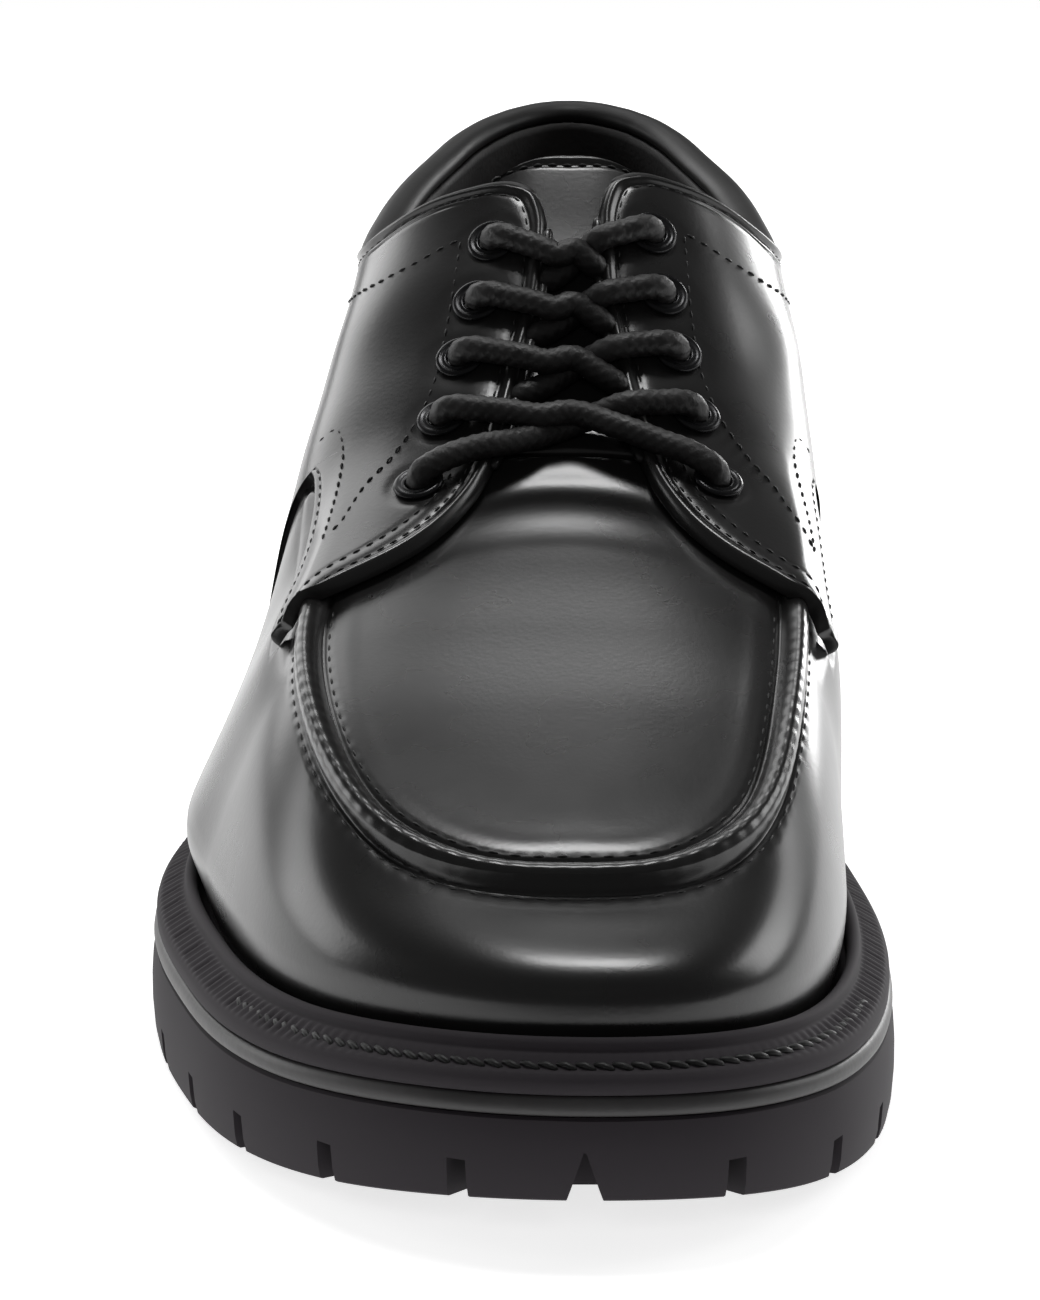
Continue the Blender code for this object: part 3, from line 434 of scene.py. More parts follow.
def shell(outside, inside, wrap=False, flip=False, open_top=None):
    """One closed body between two grids of equal shape. The outer grid faces out.

    open_top marks the rows whose last column needs a rim; the others meet their mirror rows.
    """
    rows, columns = outside.shape[:2]
    size = rows * columns
    points = np.concatenate([outside.reshape(-1, 3), inside.reshape(-1, 3)])
    outer = grid_quads(rows, columns, 0, wrap)
    inner = grid_quads(rows, columns, size, wrap)[:, ::-1]
    i = np.arange(rows if wrap else rows - 1)
    n = (i + 1) % rows
    low = np.stack([i * columns, size + i * columns, size + n * columns, n * columns], -1)
    top = columns - 1
    high = np.stack([n * columns, size + n * columns, size + i * columns, i * columns], -1) + top
    if open_top is not None:
        high = high[open_top[i] | open_top[n]]
    parts = [outer, inner, low, high]
    if not wrap:
        j = np.arange(columns - 1)
        end = (rows - 1) * columns
        parts.append(np.stack([j, j + 1, size + j + 1, size + j], -1))
        parts.append(np.stack([end + j + 1, end + j, size + end + j, size + end + j + 1], -1))
    quads = np.concatenate(parts)
    return points, quads[:, ::-1] if flip else quads


def frames_along(path, up):
    """Unit side and lift vectors along a path, with lift nearest to up."""
    along = np.gradient(path, axis=0)
    along /= np.linalg.norm(along, axis=1, keepdims=True)
    side = np.cross(along, up)
    side /= np.linalg.norm(side, axis=1, keepdims=True)
    return side, np.cross(side, along)


def roll(path, up, across, lift, sides=12, closed=False, ripple=None):
    """An elliptic tube along a path: half width across and half height lift, per point.

    ripple multiplies the radius and has one row a ring and one column a side.
    """
    side, top = frames_along(path, up)
    turn = np.arange(sides) * 2 * math.pi / sides
    grow = np.ones((len(path), sides)) if ripple is None else ripple
    ring = (side[:, None] * (np.cos(turn)[None, :] * grow * across[:, None])[..., None]
            + top[:, None] * (np.sin(turn)[None, :] * grow * lift[:, None])[..., None])
    points = (path[:, None] + ring).reshape(-1, 3)
    quads = grid_quads(len(path), sides, 0, closed, True)
    caps = []
    if not closed:
        caps = [tuple(range(sides)), tuple(((len(path) - 1) * sides + np.arange(sides))[::-1])]
    return points, quads, caps


def joined(bodies):
    """Several bodies of points, quads and caps as the arrays of one mesh."""
    points = []
    quads = []
    caps = []
    start = 0
    for body_points, body_quads, body_caps in bodies:
        points.append(body_points)
        quads.append(body_quads + start)
        caps += [tuple(int(n) + start for n in cap) for cap in body_caps]
        start += len(body_points)
    return np.concatenate(points), np.concatenate(quads), caps


def read_row(field, value, grid, index):
    """Where each chosen row of field reaches its value, read off a grid of points or vectors."""
    line = []
    for i in index:
        order = np.argsort(field[i], kind="stable")
        line.append([np.interp(value[i], field[i][order], grid[i, order, k]) for k in range(3)])
    return np.array(line)


def thread_stitches(paths, length, pitch, radius, sink, slant=0.0, arch=0.35):
    """Short arched threads laid along paths of (points, normals), all in one mesh.

    Each stitch is five rings of six points on an arc that dips into the leather at both ends.
    """
    shape_x = np.array([-0.5, -0.36, 0.0, 0.36, 0.5])
    shape_r = np.array([0.35, 0.85, 1.0, 0.85, 0.35])
    turn = np.arange(6) * math.pi / 3
    all_points = []
    all_quads = []
    caps = []
    start = 0
    for points, normals in paths:
        s = arc_length(points)
        where = np.arange(0.5 * pitch, s[-1] - 0.4 * pitch, pitch)
        centre = np.stack([np.interp(where, s, points[:, k]) for k in range(3)], -1)
        normal = np.stack([np.interp(where, s, normals[:, k]) for k in range(3)], -1)
        ahead = np.stack([np.interp(where + 0.2, s, points[:, k]) for k in range(3)], -1)
        behind = np.stack([np.interp(where - 0.2, s, points[:, k]) for k in range(3)], -1)
        along = ahead - behind
        along /= np.linalg.norm(along, axis=1, keepdims=True)
        normal -= along * (normal * along).sum(1, keepdims=True)
        normal /= np.linalg.norm(normal, axis=1, keepdims=True)
        side = np.cross(along, normal)
        along = along * math.cos(slant) + side * math.sin(slant)
        side = np.cross(along, normal)
        height = arch * (1 - (2 * shape_x)**2) - sink
        ring_centre = (centre[:, None] + along[:, None] * (shape_x * length)[None, :, None]
                       + normal[:, None] * height[None, :, None])
        ring = (side[:, None, None] * np.cos(turn)[None, None, :, None]
                + normal[:, None, None] * np.sin(turn)[None, None, :, None])
        mesh = ring_centre[:, :, None] + ring * (shape_r * radius)[None, :, None, None]
        count = len(centre)
        one = grid_quads(5, 6, 0, False, True)
        offset = (np.arange(count) * 30)[:, None, None]
        all_points.append(mesh.reshape(-1, 3))
        all_quads.append((one[None] + offset + start).reshape(-1, 4))
        for k in range(count):
            base = start + k * 30
            caps.append(tuple(base + n for n in range(6)))
            caps.append(tuple(base + 24 + n for n in range(6))[::-1])
        start += count * 30
    return np.concatenate(all_points), np.concatenate(all_quads), caps


# Materials

def new_material(name, colour, roughness, coat=0.0, coat_roughness=0.1, metallic=0.0, specular=0.5):
    """A plain shader material with constant values."""
    material = bpy.data.materials.new(name)
    material.use_nodes = True
    shader = material.node_tree.nodes["Principled BSDF"]
    shader.inputs["Base Color"].default_value = (*colour, 1.0)
    shader.inputs["Roughness"].default_value = roughness
    shader.inputs["Metallic"].default_value = metallic
    shader.inputs["Coat Weight"].default_value = coat
    shader.inputs["Coat Roughness"].default_value = coat_roughness
    shader.inputs["Specular IOR Level"].default_value = specular
    return material


def node(material, kind, **inputs):
    """A new shader node with its inputs set by name."""
    made = material.node_tree.nodes.new(kind)
    for key, value in inputs.items():
        made.inputs[key.replace("_", " ")].default_value = value
    return made


def link(material, source, output, target, socket):
    """Joins an output of one node to a socket of another."""
    material.node_tree.links.new(source.outputs[output], target.inputs[socket])


def add_grain(material, scale, strength, distance, rough, rough_scale=60.0, tint=0.0):
    """Pebble bump from cells and noise on Object coordinates, and a slow change in gloss."""
    tree = material.node_tree
    shader = tree.nodes["Principled BSDF"]
    place = node(material, "ShaderNodeTexCoord")
    cells = node(material, "ShaderNodeTexVoronoi", Scale=scale)
    cells.feature = "SMOOTH_F1"
    noise = node(material, "ShaderNodeTexNoise", Scale=scale * 0.45, Detail=5.0, Roughness=0.6)
    mix = node(material, "ShaderNodeMath")
    mix.operation = "MULTIPLY_ADD"
    mix.inputs[1].default_value = 0.6
    relief = node(material, "ShaderNodeBump", Strength=strength, Distance=distance)
    link(material, place, "Object", cells, "Vector")
    link(material, place, "Object", noise, "Vector")
    link(material, cells, "Distance", mix, 0)
    link(material, noise, "Fac", mix, 2)
    link(material, mix, "Value", relief, "Height")
    link(material, relief, "Normal", shader, "Normal")
    if "Coat Normal" in shader.inputs:
        link(material, relief, "Normal", shader, "Coat Normal")
    patches = node(material, "ShaderNodeTexNoise", Scale=rough_scale, Detail=4.0, Roughness=0.55)
    spread = node(material, "ShaderNodeMapRange")
    spread.inputs["From Min"].default_value = 0.3
    spread.inputs["From Max"].default_value = 0.7
    spread.inputs["To Min"].default_value = rough[0]
    spread.inputs["To Max"].default_value = rough[1]
    link(material, place, "Object", patches, "Vector")
    link(material, patches, "Fac", spread, "Value")
    link(material, spread, "Result", shader, "Roughness")
    if tint:
        base = np.array(shader.inputs["Base Color"].default_value[:3])
        ramp_node = tree.nodes.new("ShaderNodeValToRGB")
        ramp_node.color_ramp.elements[0].color = (*(base * (1 - tint)), 1)
        ramp_node.color_ramp.elements[1].color = (*(base * (1 + tint)), 1)
        ramp_node.color_ramp.elements[0].position = 0.35
        ramp_node.color_ramp.elements[1].position = 0.65
        link(material, patches, "Fac", ramp_node, "Fac")
        link(material, ramp_node, "Color", shader, "Base Color")


def finish_named(name):
    """The finish of that name, made once from the panel's settings.

    A recipe is the colour, the roughness and the shader's extras, then the grain's scale,
    strength and depth, its range of roughness, the patch scale and the spread of the tint.
    """
    if name in bpy.data.materials:
        return bpy.data.materials[name]
    finish = bpy.context.scene.derby_finish
    black = tuple(finish.leather_colour)
    rubber = tuple(finish.rubber_colour)
    lace = tuple(finish.lace_colour)
    gloss = finish.leather_roughness
    recipes = {
        "polished_leather": (black, gloss, {"coat": 0.18, "coat_roughness": 0.2},
                             (1700.0, 0.06, 0.0002, (gloss - 0.02, gloss + 0.03), 45.0, 0.1)),
        "collar_leather": (black, 0.5, {"specular": 0.3}, (1700.0, 0.08, 0.0002, (0.45, 0.55), 45.0, 0.1)),
        "lining_leather": ((0.010, 0.009, 0.009), 0.75, {}, (1200.0, 0.3, 0.0003, (0.6, 0.8), 80.0, 0.2)),
        "insole_sock": ((0.012, 0.011, 0.011), 0.8, {}, (1400.0, 0.3, 0.0003, (0.7, 0.85), 80.0, 0.2)),
        "sole_rubber": (rubber, 0.6, {"specular": 0.32}, (900.0, 0.25, 0.0003, (0.52, 0.68), 60.0, 0.15)),
        "sole_band": ((0.03, 0.0285, 0.029), 0.45, {}, (900.0, 0.2, 0.0002, (0.42, 0.5), 60.0, 0.15)),
        "welt_rubber": ((0.0085, 0.008, 0.0082), 0.42, {"specular": 0.4},
                        (1100.0, 0.2, 0.0002, (0.38, 0.52), 120.0, 0.15)),
        "waxed_lace": (lace, 0.5, {}, (2600.0, 0.35, 0.0002, (0.42, 0.6), 300.0, 0.3)),
        "stitch_thread": ((0.006, 0.006, 0.006), 0.6, {}, (3500.0, 0.3, 0.0001, (0.45, 0.65), 300.0, 0.2)),
        "black_enamel": ((0.012, 0.012, 0.013), 0.25, {"metallic": 0.6},
                         (2000.0, 0.06, 0.0001, (0.2, 0.34), 300.0, 0.1)),
    }
    if name not in recipes:
        raise RuntimeError(f"no finish is called {name}")
    colour, roughness, extras, grain = recipes[name]
    made = new_material(name, colour, roughness, **extras)
    add_grain(made, *grain)
    return made


def dress(item, slot, *nodes):
    """Parents a finished piece to the root empty and hides the frame's nodes that it stands for. slot is
    not used.
    """
    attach(item, "root")
    if nodes:
        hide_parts(*nodes)
    return item


# The upper

def upper_top(u):
    """Where each spoke of the upper ends: the crest in front, then throat, then topline."""
    throat, collar = THROAT
    line = np.array([(throat, 2.0), (throat - THROAT_SLANT, UPPER_THROAT_T),
                     (collar + 0.006, UPPER_THROAT_T)])
    top = np.asarray(TOPLINE)
    top = top[top[:, 1] < UPPER_THROAT_T - 0.04] - np.array([0.0, 0.035])
    line = np.vstack([line, top])[::-1]
    return np.where(u >= throat, 2.0, np.interp(u, line[:, 0], line[:, 1]))


def vamp_crease(points):
    """Depth of the soft folds across the vamp just in front of the throat."""
    y = points[..., 1]
    x = points[..., 0] + 1.0
    bow = 0.010 * x**2
    fade = bump(x, 0, 17.0)
    return (-0.55 * bump(y + bow, -36.5, 2.8) + 0.4 * bump(y + bow, -41.5, 3.6)
            - 0.15 * bump(y + bow, -48.0, 3.0)) * fade


def notch_fill(a, t):
    """Height that brings the side wall up level with the quarter inside the quarter's cut-out."""
    inner = a > 0.5
    side = np.minimum(a, 1 - a)
    u = side + INNER_BACK * inner
    level = t + INNER_DROP * inner
    notch = np.array([QUARTER_TIP] + QUARTER_NOTCH)[::-1]
    foot = np.array([QUARTER_NOTCH[-1]] + QUARTER_FOOT)[::-1]
    top = np.interp(u, notch[:, 0], notch[:, 1])
    back = np.interp(level, foot[:, 1], foot[:, 0])
    below = ramp(top - level, 0.0, 0.05)
    ahead = ramp(u, back + 0.0005, back + 0.005)
    return NOTCH_FILL_HEIGHT * below * ahead * (1 - ramp(u, 0.318, 0.352)) * ramp(level, -0.75, -0.1)


def apron_relief(a, t, base):
    """Height of the apron's roll, its grooves and its pucker, in millimetres.

    The roll is a cosine ridge on the apron seam. A groove lies on either side of it, and two
    stitch lines pucker the leather with a sine of the stitch pitch along the seam.
    """
    look = bpy.context.scene.derby_sizes
    length = arc_length(base, 1)
    seam = np.argmin(np.abs(t[0] - 1.0))
    away = length - length[:, seam:seam + 1]
    s = arc_length(base[:, seam], 0)[:, None]
    u = np.minimum(a, 1 - a)
    front = ramp(u, 0.42, 0.46)
    half = APRON_ROLL_HALF + 0.55 * front
    ridge = np.where(np.abs(away) < half, np.cos(0.5 * np.pi * np.clip(away / half, -1, 1))**1.3, 0)
    tuck = -0.45 * bump(away, half + 0.25, 0.5) - 0.55 * bump(away, -half - 0.2, 0.5)
    inner_row = half + STITCH_SETBACK
    outer_row = -half - STITCH_SETBACK
    pitch = look.seam_stitch_pitch / MM
    wave = np.sin(2 * np.pi * s / pitch)
    pucker = ((0.02 * wave - 0.10) * bump(away, inner_row, 0.6)
              + (0.04 * wave - 0.16) * bump(away, outer_row, 0.6))
    swell = 0.08 * bump(away, inner_row + 2.6, 1.6)
    roll_height = look.roll_height / MM
    roll_wave = 1 + 0.025 * np.sin(2 * np.pi * s / pitch + 0.6)
    return roll_height * ridge * roll_wave + tuck + pucker + swell, away, inner_row, outer_row


def vamp_grid(columns=470):
    """Grid of a, t over the upper in front of the quarters, finest across the apron seam."""
    a = np.linspace(0.236, 0.764, columns)[:, None]
    low = np.linspace(-1, 0.84, 40)[:-1]
    fine = np.linspace(0.84, 1.22, 72)[:-1]
    high = 1.22 + 0.78 * (1 - (1 - np.linspace(0, 1, 36))**1.2)
    t = np.concatenate([low, fine, high])[None, :]
    t = np.broadcast_to(t, (columns, t.shape[1])).copy()
    u = np.minimum(a, 1 - a)
    top = upper_top(u)
    t = np.where(top < 2, np.minimum(t, top - 1e-4 * (2 - t)), t)
    return np.broadcast_to(a, t.shape), t


class DERBY_OT_vamp(bpy.types.Operator):
    """Build the vamp, side walls and apron as one leather shell with the raised apron roll"""
    bl_idname = "derby.vamp"
    bl_label = "Vamp and apron"

    def execute(self, context):
        a, t = vamp_grid()
        base = skin(a, t, UPPER_WALL + 0 * t)
        relief, away, inner_row, outer_row = apron_relief(a, t, base)
        relief = relief * ramp(np.minimum(a, 1 - a), 0.318, 0.334)
        relief = relief + vamp_crease(base) + notch_fill(a, t)
        normals = last_normal(a, t)
        outside = base + normals * relief[..., None]
        rim = outside[:, -1]
        outside[:, -1] = np.where(t[:, -1:] >= 2, 0.5 * (rim + rim[::-1]), rim)
        inside = skin(a, t, 0.5 + 0 * t)
        points, quads = shell(outside, inside, open_top=t[:, -1] < 2)
        item = put_mesh("vamp_and_apron", points, quads, finish_named("polished_leather"))
        tidy_solid(item)
        item.data.shade_smooth()
        dress(item, "upper_leather", "upper")

        # The two stitch rows of the apron seam, read off the same grid
        rows = []
        side = np.minimum(a[:, 0], 1 - a[:, 0])
        shown = np.where(side > 0.335)[0]
        for target in (inner_row[:, 0], outer_row[:, 0]):
            rows.append((read_row(away, target, outside, shown), read_row(away, target, normals, shown)))
        look = context.scene.derby_sizes
        pitch = look.seam_stitch_pitch / MM
        points, quads, caps = thread_stitches(rows, pitch * 0.6, pitch, 0.20, 0.22, arch=0.25)
        thread = put_mesh("apron_stitches", points, quads, finish_named("stitch_thread"), caps)
        dress(thread, "upper_leather")
        return {"FINISHED"}


def hem_height(u):
    """The lowest t of the quarter, where its hem clears the welt's bead."""
    rise = table_curve(BELLY_RISE, loop_values(u)[:, 1])
    lift = WELT_RISE + BEAD_HEIGHT + HEM_CLEAR - LAYER_GAP
    return -np.arcsin((1 - lift / rise) * math.sin(TUCK_ANGLE)) / TUCK_ANGLE


def quarter_edges(count):
    """Matching points on the quarter's lower and upper edges, from tip to heel."""
    low = np.vstack([smooth_line([QUARTER_TIP] + QUARTER_NOTCH, count[0]),
                     smooth_line([QUARTER_NOTCH[-1]] + QUARTER_FOOT, count[1])[1:],
                     smooth_line([QUARTER_FOOT[-1]] + QUARTER_HEM, count[2])[1:]])
    low[:, 1] = np.maximum(low[:, 1], hem_height(low[:, 0]))
    front = [(QUARTER_TIP[0] + 0.002, QUARTER_TIP[1] + 0.05)] + QUARTER_FRONT
    high = np.vstack([smooth_line(front + FACING_EDGE[:1], count[0]),
                      smooth_line(FACING_EDGE + TOPLINE[:2], count[1])[1:],
                      smooth_line(TOPLINE[1:], count[2])[1:]])
    return low, high


# Distances from an edge at which the quarter's grid has columns
EDGE_STEPS = np.array([0, 0.06, 0.2, 0.4, 0.65, 0.95, 1.25, 1.6, 2.0, 2.4, 2.75, 3.0, 3.25, 3.6, 4.1,
                       4.6, 5.0, 5.4, 6.0])


def quarter_grid(middle=44):
    """Grid of a, t over both quarters, with columns set by distance from either edge."""
    low, high = quarter_edges((90, 90, 130))
    trial = np.linspace(0, 1, 24)
    line = low[:, None] * (1 - trial[:, None]) + high[:, None] * trial[:, None]
    length = arc_length(skin(line[..., 0], line[..., 1], FACE + 0 * line[..., 0]), 1)
    total = length[:, -1]
    reach = EDGE_STEPS[-1]
    scale = np.minimum(1.0, total / (2.5 * reach))[:, None]
    near = EDGE_STEPS[None, :] * scale
    far = total[:, None] - near[:, ::-1]
    share = np.linspace(0, 1, middle)[None, 1:-1]
    between = near[:, -1:] * (1 - share) + far[:, :1] * share
    distance = np.concatenate([near, between, far], 1)
    where = np.stack([np.interp(distance[i], length[i], trial) for i in range(len(low))])
    grid = low[:, None] * (1 - where[..., None]) + high[:, None] * where[..., None]
    grid = np.concatenate([grid, grid[:-1][::-1]])
    distance = np.concatenate([distance, distance[:-1][::-1]])
    total = np.concatenate([total, total[:-1][::-1]])
    inner = (np.arange(len(grid)) >= len(low))[:, None]
    a, t = on_side(grid[..., 0], grid[..., 1], inner)
    return a, t, distance, total[:, None] - distance, grid[..., 0]


def rounded(distance, radius):
    """Share of the full thickness at a distance from a rounded edge."""
    return np.sqrt(np.clip(1 - (1 - np.clip(distance / radius, 0, 1))**2, 0, 1))


class DERBY_OT_quarters(bpy.types.Operator):
    """Build the quarters with folded edges, rolled facings, the topline band and their stitching"""
    bl_idname = "derby.quarters"
    bl_label = "Quarters"

    def execute(self, context):
        look = context.scene.derby_sizes
        a, t, from_low, from_high, u = quarter_grid()
        start = UPPER_WALL + QUARTER_GAP
        flat = skin(a, t, FACE + 0 * t)
        run = arc_length(flat, 0)
        tip = np.minimum(run, run[-1:] - run)
        s = run[:, -1:]
        pitch = look.quarter_stitch_pitch / MM
        wave = np.sin(2 * np.pi * s / pitch)
        facing = ramp(-u, -0.31, -0.295) * ramp(t, 1.5, 1.62)
        edge_roll = 0.55 * bump(from_high, 1.3, 1.0) - 0.30 * bump(from_high, 2.6, 0.45)
        pucker = (0.015 * wave - 0.10) * bump(from_high, 3.2, 0.5)
        band = -0.32 * bump(from_high, 5.0, 0.28) * ramp(-u, -0.218, -0.212)
        front = ramp(u, 0.300, 0.309)
        second = -0.08 * bump(from_high, 5.6, 0.5) * front
        low_row = -0.16 * bump(from_low, 2.4, 0.5)
        press = 0 * t
        for side in (False, True):
            for eye_u, eye_t in EYELETS:
                ea, et = on_side(np.array([eye_u]), np.array([eye_t]), side)
                centre = skin(ea, et, np.array([FACE]))[0]
                away = np.linalg.norm(flat - centre, axis=-1)
                press += -0.12 * bump(away, 4.5, 0.8) - 0.5 * bump(away, 0, 3.2)
        wobble = 0.16 * np.sin(0.19 * flat[..., 1] + 0.05 * flat[..., 2]) * np.sin(0.16 * flat[..., 2] + 1)
        relief = (edge_roll + facing * 0.15 + pucker + band + second + low_row + press + wobble)
        edges = np.minimum(rounded(from_low, 1.1), rounded(from_high, 1.3))
        thick = QUARTER_WALL * edges * rounded(tip, 1.1)
        fade = np.minimum(rounded(from_low, 1.0), ramp(tip, 0.0, 5.0))
        normals = last_normal(a, t)
        outside = skin(a, t, start + thick) + normals * (relief * fade)[..., None]
        inside = skin(a, t, start - 0.02 + 0 * t)
        points, quads = shell(outside, inside, flip=True)
        item = put_mesh("quarters_leather", points, quads, finish_named("polished_leather"))
        dress(item, "upper_leather", "quarters")

        # A fine piping on the two facing edges
        tubes = []
        for mirror in (False, True):
            line = smooth_line(FACING_EDGE, 200)
            pa, pt = on_side(line[:, 0], line[:, 1] + 0.004, mirror)
            path = skin(pa, pt, FACE - 0.95 + 0 * pt)
            steps = np.arange(200.0)
            size = PIPING_RADIUS * (0.3 + 0.7 * rounded(np.minimum(steps, steps[::-1]), 6.0))
            tubes.append(roll(path, last_normal(pa, pt), size, size, 14))
        points, quads, caps = joined(tubes)
        piping = put_mesh("facing_piping", points, quads, finish_named("polished_leather"), caps)
        dress(piping, "upper_leather")

        # Rows that run beside the edges, read off the same grid
        rows = []
        middle = len(a) // 2
        for setback, field, keep in (
                (3.2, from_high, tip[:, -1] > 2.5),
                (5.6, from_high, (u[:, -1] > 0.303) & (tip[:, -1] > 4)),
                (2.4, from_low, (u[:, 0] > 0.267) & (tip[:, 0] > 5))):
            shown = np.where(keep)[0]
            for index in (shown[shown < middle], shown[shown >= middle]):
                if len(index) > 2:
                    value = np.full(len(a), setback)
                    rows.append((read_row(field, value, outside, index),
                                 read_row(field, value, normals, index)))
        for mirror in (False, True):
            for spots in DECOR_LINES:
                line = smooth_line(spots, 220)
                ra, rt = on_side(line[:, 0], line[:, 1], mirror)
                rows.append((skin(ra, rt, FACE + 0.02 + 0 * rt), last_normal(ra, rt)))
        points, quads, caps = thread_stitches(rows, pitch * 0.62, pitch, 0.17, 0.12, arch=0.22)
        thread = put_mesh("quarter_stitches", points, quads, finish_named("stitch_thread"), caps)
        dress(thread, "upper_leather")
        return {"FINISHED"}


class DERBY_OT_collar(bpy.types.Operator):
    """Build the padded collar rim round the topline, and the lining inside"""
    bl_idname = "derby.collar"
    bl_label = "Collar and lining"

    def execute(self, context):
        line = smooth_line(TOPLINE, 260)
        line = np.concatenate([line, line[:-1][::-1]])
        inner = np.arange(len(line)) >= 260
        a, t = on_side(line[:, 0], line[:, 1], inner)
        thin = ramp(t, 1.15, 1.45)
        centre_grow = 2.35 * (1 - thin) + 4.0 * thin
        across = 2.75 * (1 - thin) + 0.95 * thin
        lift = 1.9 * (1 - thin) + 1.0 * thin
        ends = np.minimum(np.arange(len(line)), np.arange(len(line))[::-1])
        small = rounded(ends.astype(float), 5.0) * 0.8 + 0.2
        path = skin(a, t - 0.012, centre_grow)
        points, quads, caps = roll(path, last_normal(a, t), lift * small, across * small, 20)
        rim = put_mesh("collar_rim", points, quads, finish_named("collar_leather"), caps)
        dress(rim, "upper_leather")

        share = np.linspace(0, 1, 60)
        side_u = np.linspace(0, 0.30, 150)
        ua = np.concatenate([-side_u[::-1], side_u[1:]])
        a = np.mod(ua, 1.0)
        throat = THROAT[0] - THROAT_SLANT
        top = np.where(np.abs(ua) > throat, UPPER_THROAT_T, upper_top(np.minimum(np.abs(ua), throat)))
        t = -1 + (top[:, None] + 1.0) * share[None, :]
        sag = 0.12 * np.sin(ua[:, None] * 90) * np.sin(share[None, :] * 7)
        outside = skin(a[:, None], t, 0.25 + 0 * t)
        inside = skin(a[:, None], t, 0.25 - LINING_WALL + sag)
        points, quads = shell(outside, inside)
        lining = put_mesh("lining", points, quads, finish_named("lining_leather"))
        dress(lining, "upper_leather")
        return {"FINISHED"}


class DERBY_OT_tongue(bpy.types.Operator):
    """Build the tongue with a rounded, stitched edge"""
    bl_idname = "derby.tongue"
    bl_label = "Tongue"

    def execute(self, context):
        across = np.sin(np.linspace(-1, 1, 61) * math.pi / 2)
        start = THROAT[0] - 0.002 - 1.1 * THROAT_SLANT * np.abs(across)
        steps = 1 - (1 - np.linspace(0, 1, 90))**1.6
        corner = np.clip((steps - 0.84) / 0.16, 0, 1)
        half = (2 - TONGUE_EDGE_T) * np.sqrt(1 - 0.72 * corner**2)
        end = TONGUE_END - 0.0035 * (1 - across**2)
        u = start[None, :] + (end - start)[None, :] * steps[:, None]
        t = 2 - np.abs(across)[None, :] * half[:, None]
        a = np.where(across[None, :] <= 0, u, 1 - u)
        flat = skin(a, t, TONGUE_WALL + 0 * t)
        from_top = arc_length(flat[::-1], 0)[::-1]
        along = arc_length(flat, 1)
        from_side = np.minimum(along, along[:, -1:] - along)
        edge = np.minimum(from_top, from_side)
        thick = (TONGUE_WALL - 0.1) * rounded(edge, 1.1) + 0.1
        relief = -0.25 * bump(edge, 2.4, 0.4) + 0.25 * bump(edge, 1.1, 0.7)
        outside = skin(a, t, thick + relief * rounded(edge, 0.8))
        inside = skin(a, t, 0 * t)
        points, quads = shell(outside, inside, flip=True)
        item = put_mesh("tongue_leather", points, quads, finish_named("polished_leather"))
        dress(item, "tongue_leather", "tongue")
        index = range(4, 57)
        value = np.full(len(across), 2.4)
        line = read_row(from_top.T, value, outside.swapaxes(0, 1), index)
        up = read_row(from_top.T, value, last_normal(a, t).swapaxes(0, 1), index)
        points, quads, caps = thread_stitches([(line, up)], 1.5, 2.3, 0.22, 0.08)
        thread = put_mesh("tongue_stitches", points, quads, finish_named("stitch_thread"), caps)
        dress(thread, "tongue_leather")
        return {"FINISHED"}


class DERBY_OT_eyelets(bpy.types.Operator):
    """Turn the metal eyelets on the facings"""
    bl_idname = "derby.eyelets"
    bl_label = "Eyelets"

    def execute(self, context):
        profile = np.array([(1.9, -2.2), (2.1, -2.3), (2.35, -2.1), (2.38, 0.05), (3.5, 0.12), (3.8, 0.3),
                            (3.85, 0.5), (3.7, 0.78), (3.35, 0.95), (3.0, 0.92), (2.7, 0.72), (2.45, 0.85),
                            (2.2, 0.86), (1.98, 0.7), (1.9, 0.4)])
        turn = np.arange(40) * 2 * math.pi / 40
        names = []
        rings = []
        for mirror in (False, True):
            for number, (u, t) in enumerate(EYELETS):
                a, spot = on_side(np.array([u]), np.array([t]), mirror)
                centre = skin(a, spot, np.array([FACE]))[0]
                normal = last_normal(a, spot)[0]
                side = np.cross(normal, [0.0, 1.0, 0.0])
                side /= np.linalg.norm(side)
                other = np.cross(normal, side)
                ring = np.cos(turn)[:, None] * side + np.sin(turn)[:, None] * other
                points = (centre + ring[:, None] * profile[None, :, :1]
                          + normal * (profile[None, :, 1:] - EYELET_SINK))
                rings.append((points.reshape(-1, 3), grid_quads(40, len(profile), 0, True, True), []))
                names.append(f"eyelet_{'inner' if mirror else 'outer'}_{number + 1}")
        points, quads, caps = joined(rings)
        item = put_mesh("eyelet_rings", points, quads, finish_named("black_enamel"), caps)
        dress(item, "eyelet_metal", *names)
        return {"FINISHED"}


def spaced(path, step):
    """The same path with points a fixed step apart."""
    s = arc_length(path)
    want = np.linspace(0, s[-1], int(s[-1] / step))
    return np.stack([np.interp(want, s, path[:, k]) for k in range(3)], -1)


def rounded_path(knots, count=160):
    """A smooth curve through knots: each coordinate is a cubic of the length between two knots."""
    s = arc_length(knots)
    want = np.linspace(0, s[-1], count)
    step = np.diff(s)
    slope = np.gradient(knots, s, axis=0)
    i = np.clip(np.searchsorted(s, want, side="right") - 1, 0, len(step) - 1)
    h = step[i][:, None]
    x = ((want - s[i]) / step[i])[:, None]
    return ((2 * x**3 - 3 * x**2 + 1) * knots[i] + (x**3 - 2 * x**2 + x) * h * slope[i]
            + (3 * x**2 - 2 * x**3) * knots[i + 1] + (x**3 - x**2) * h * slope[i + 1])


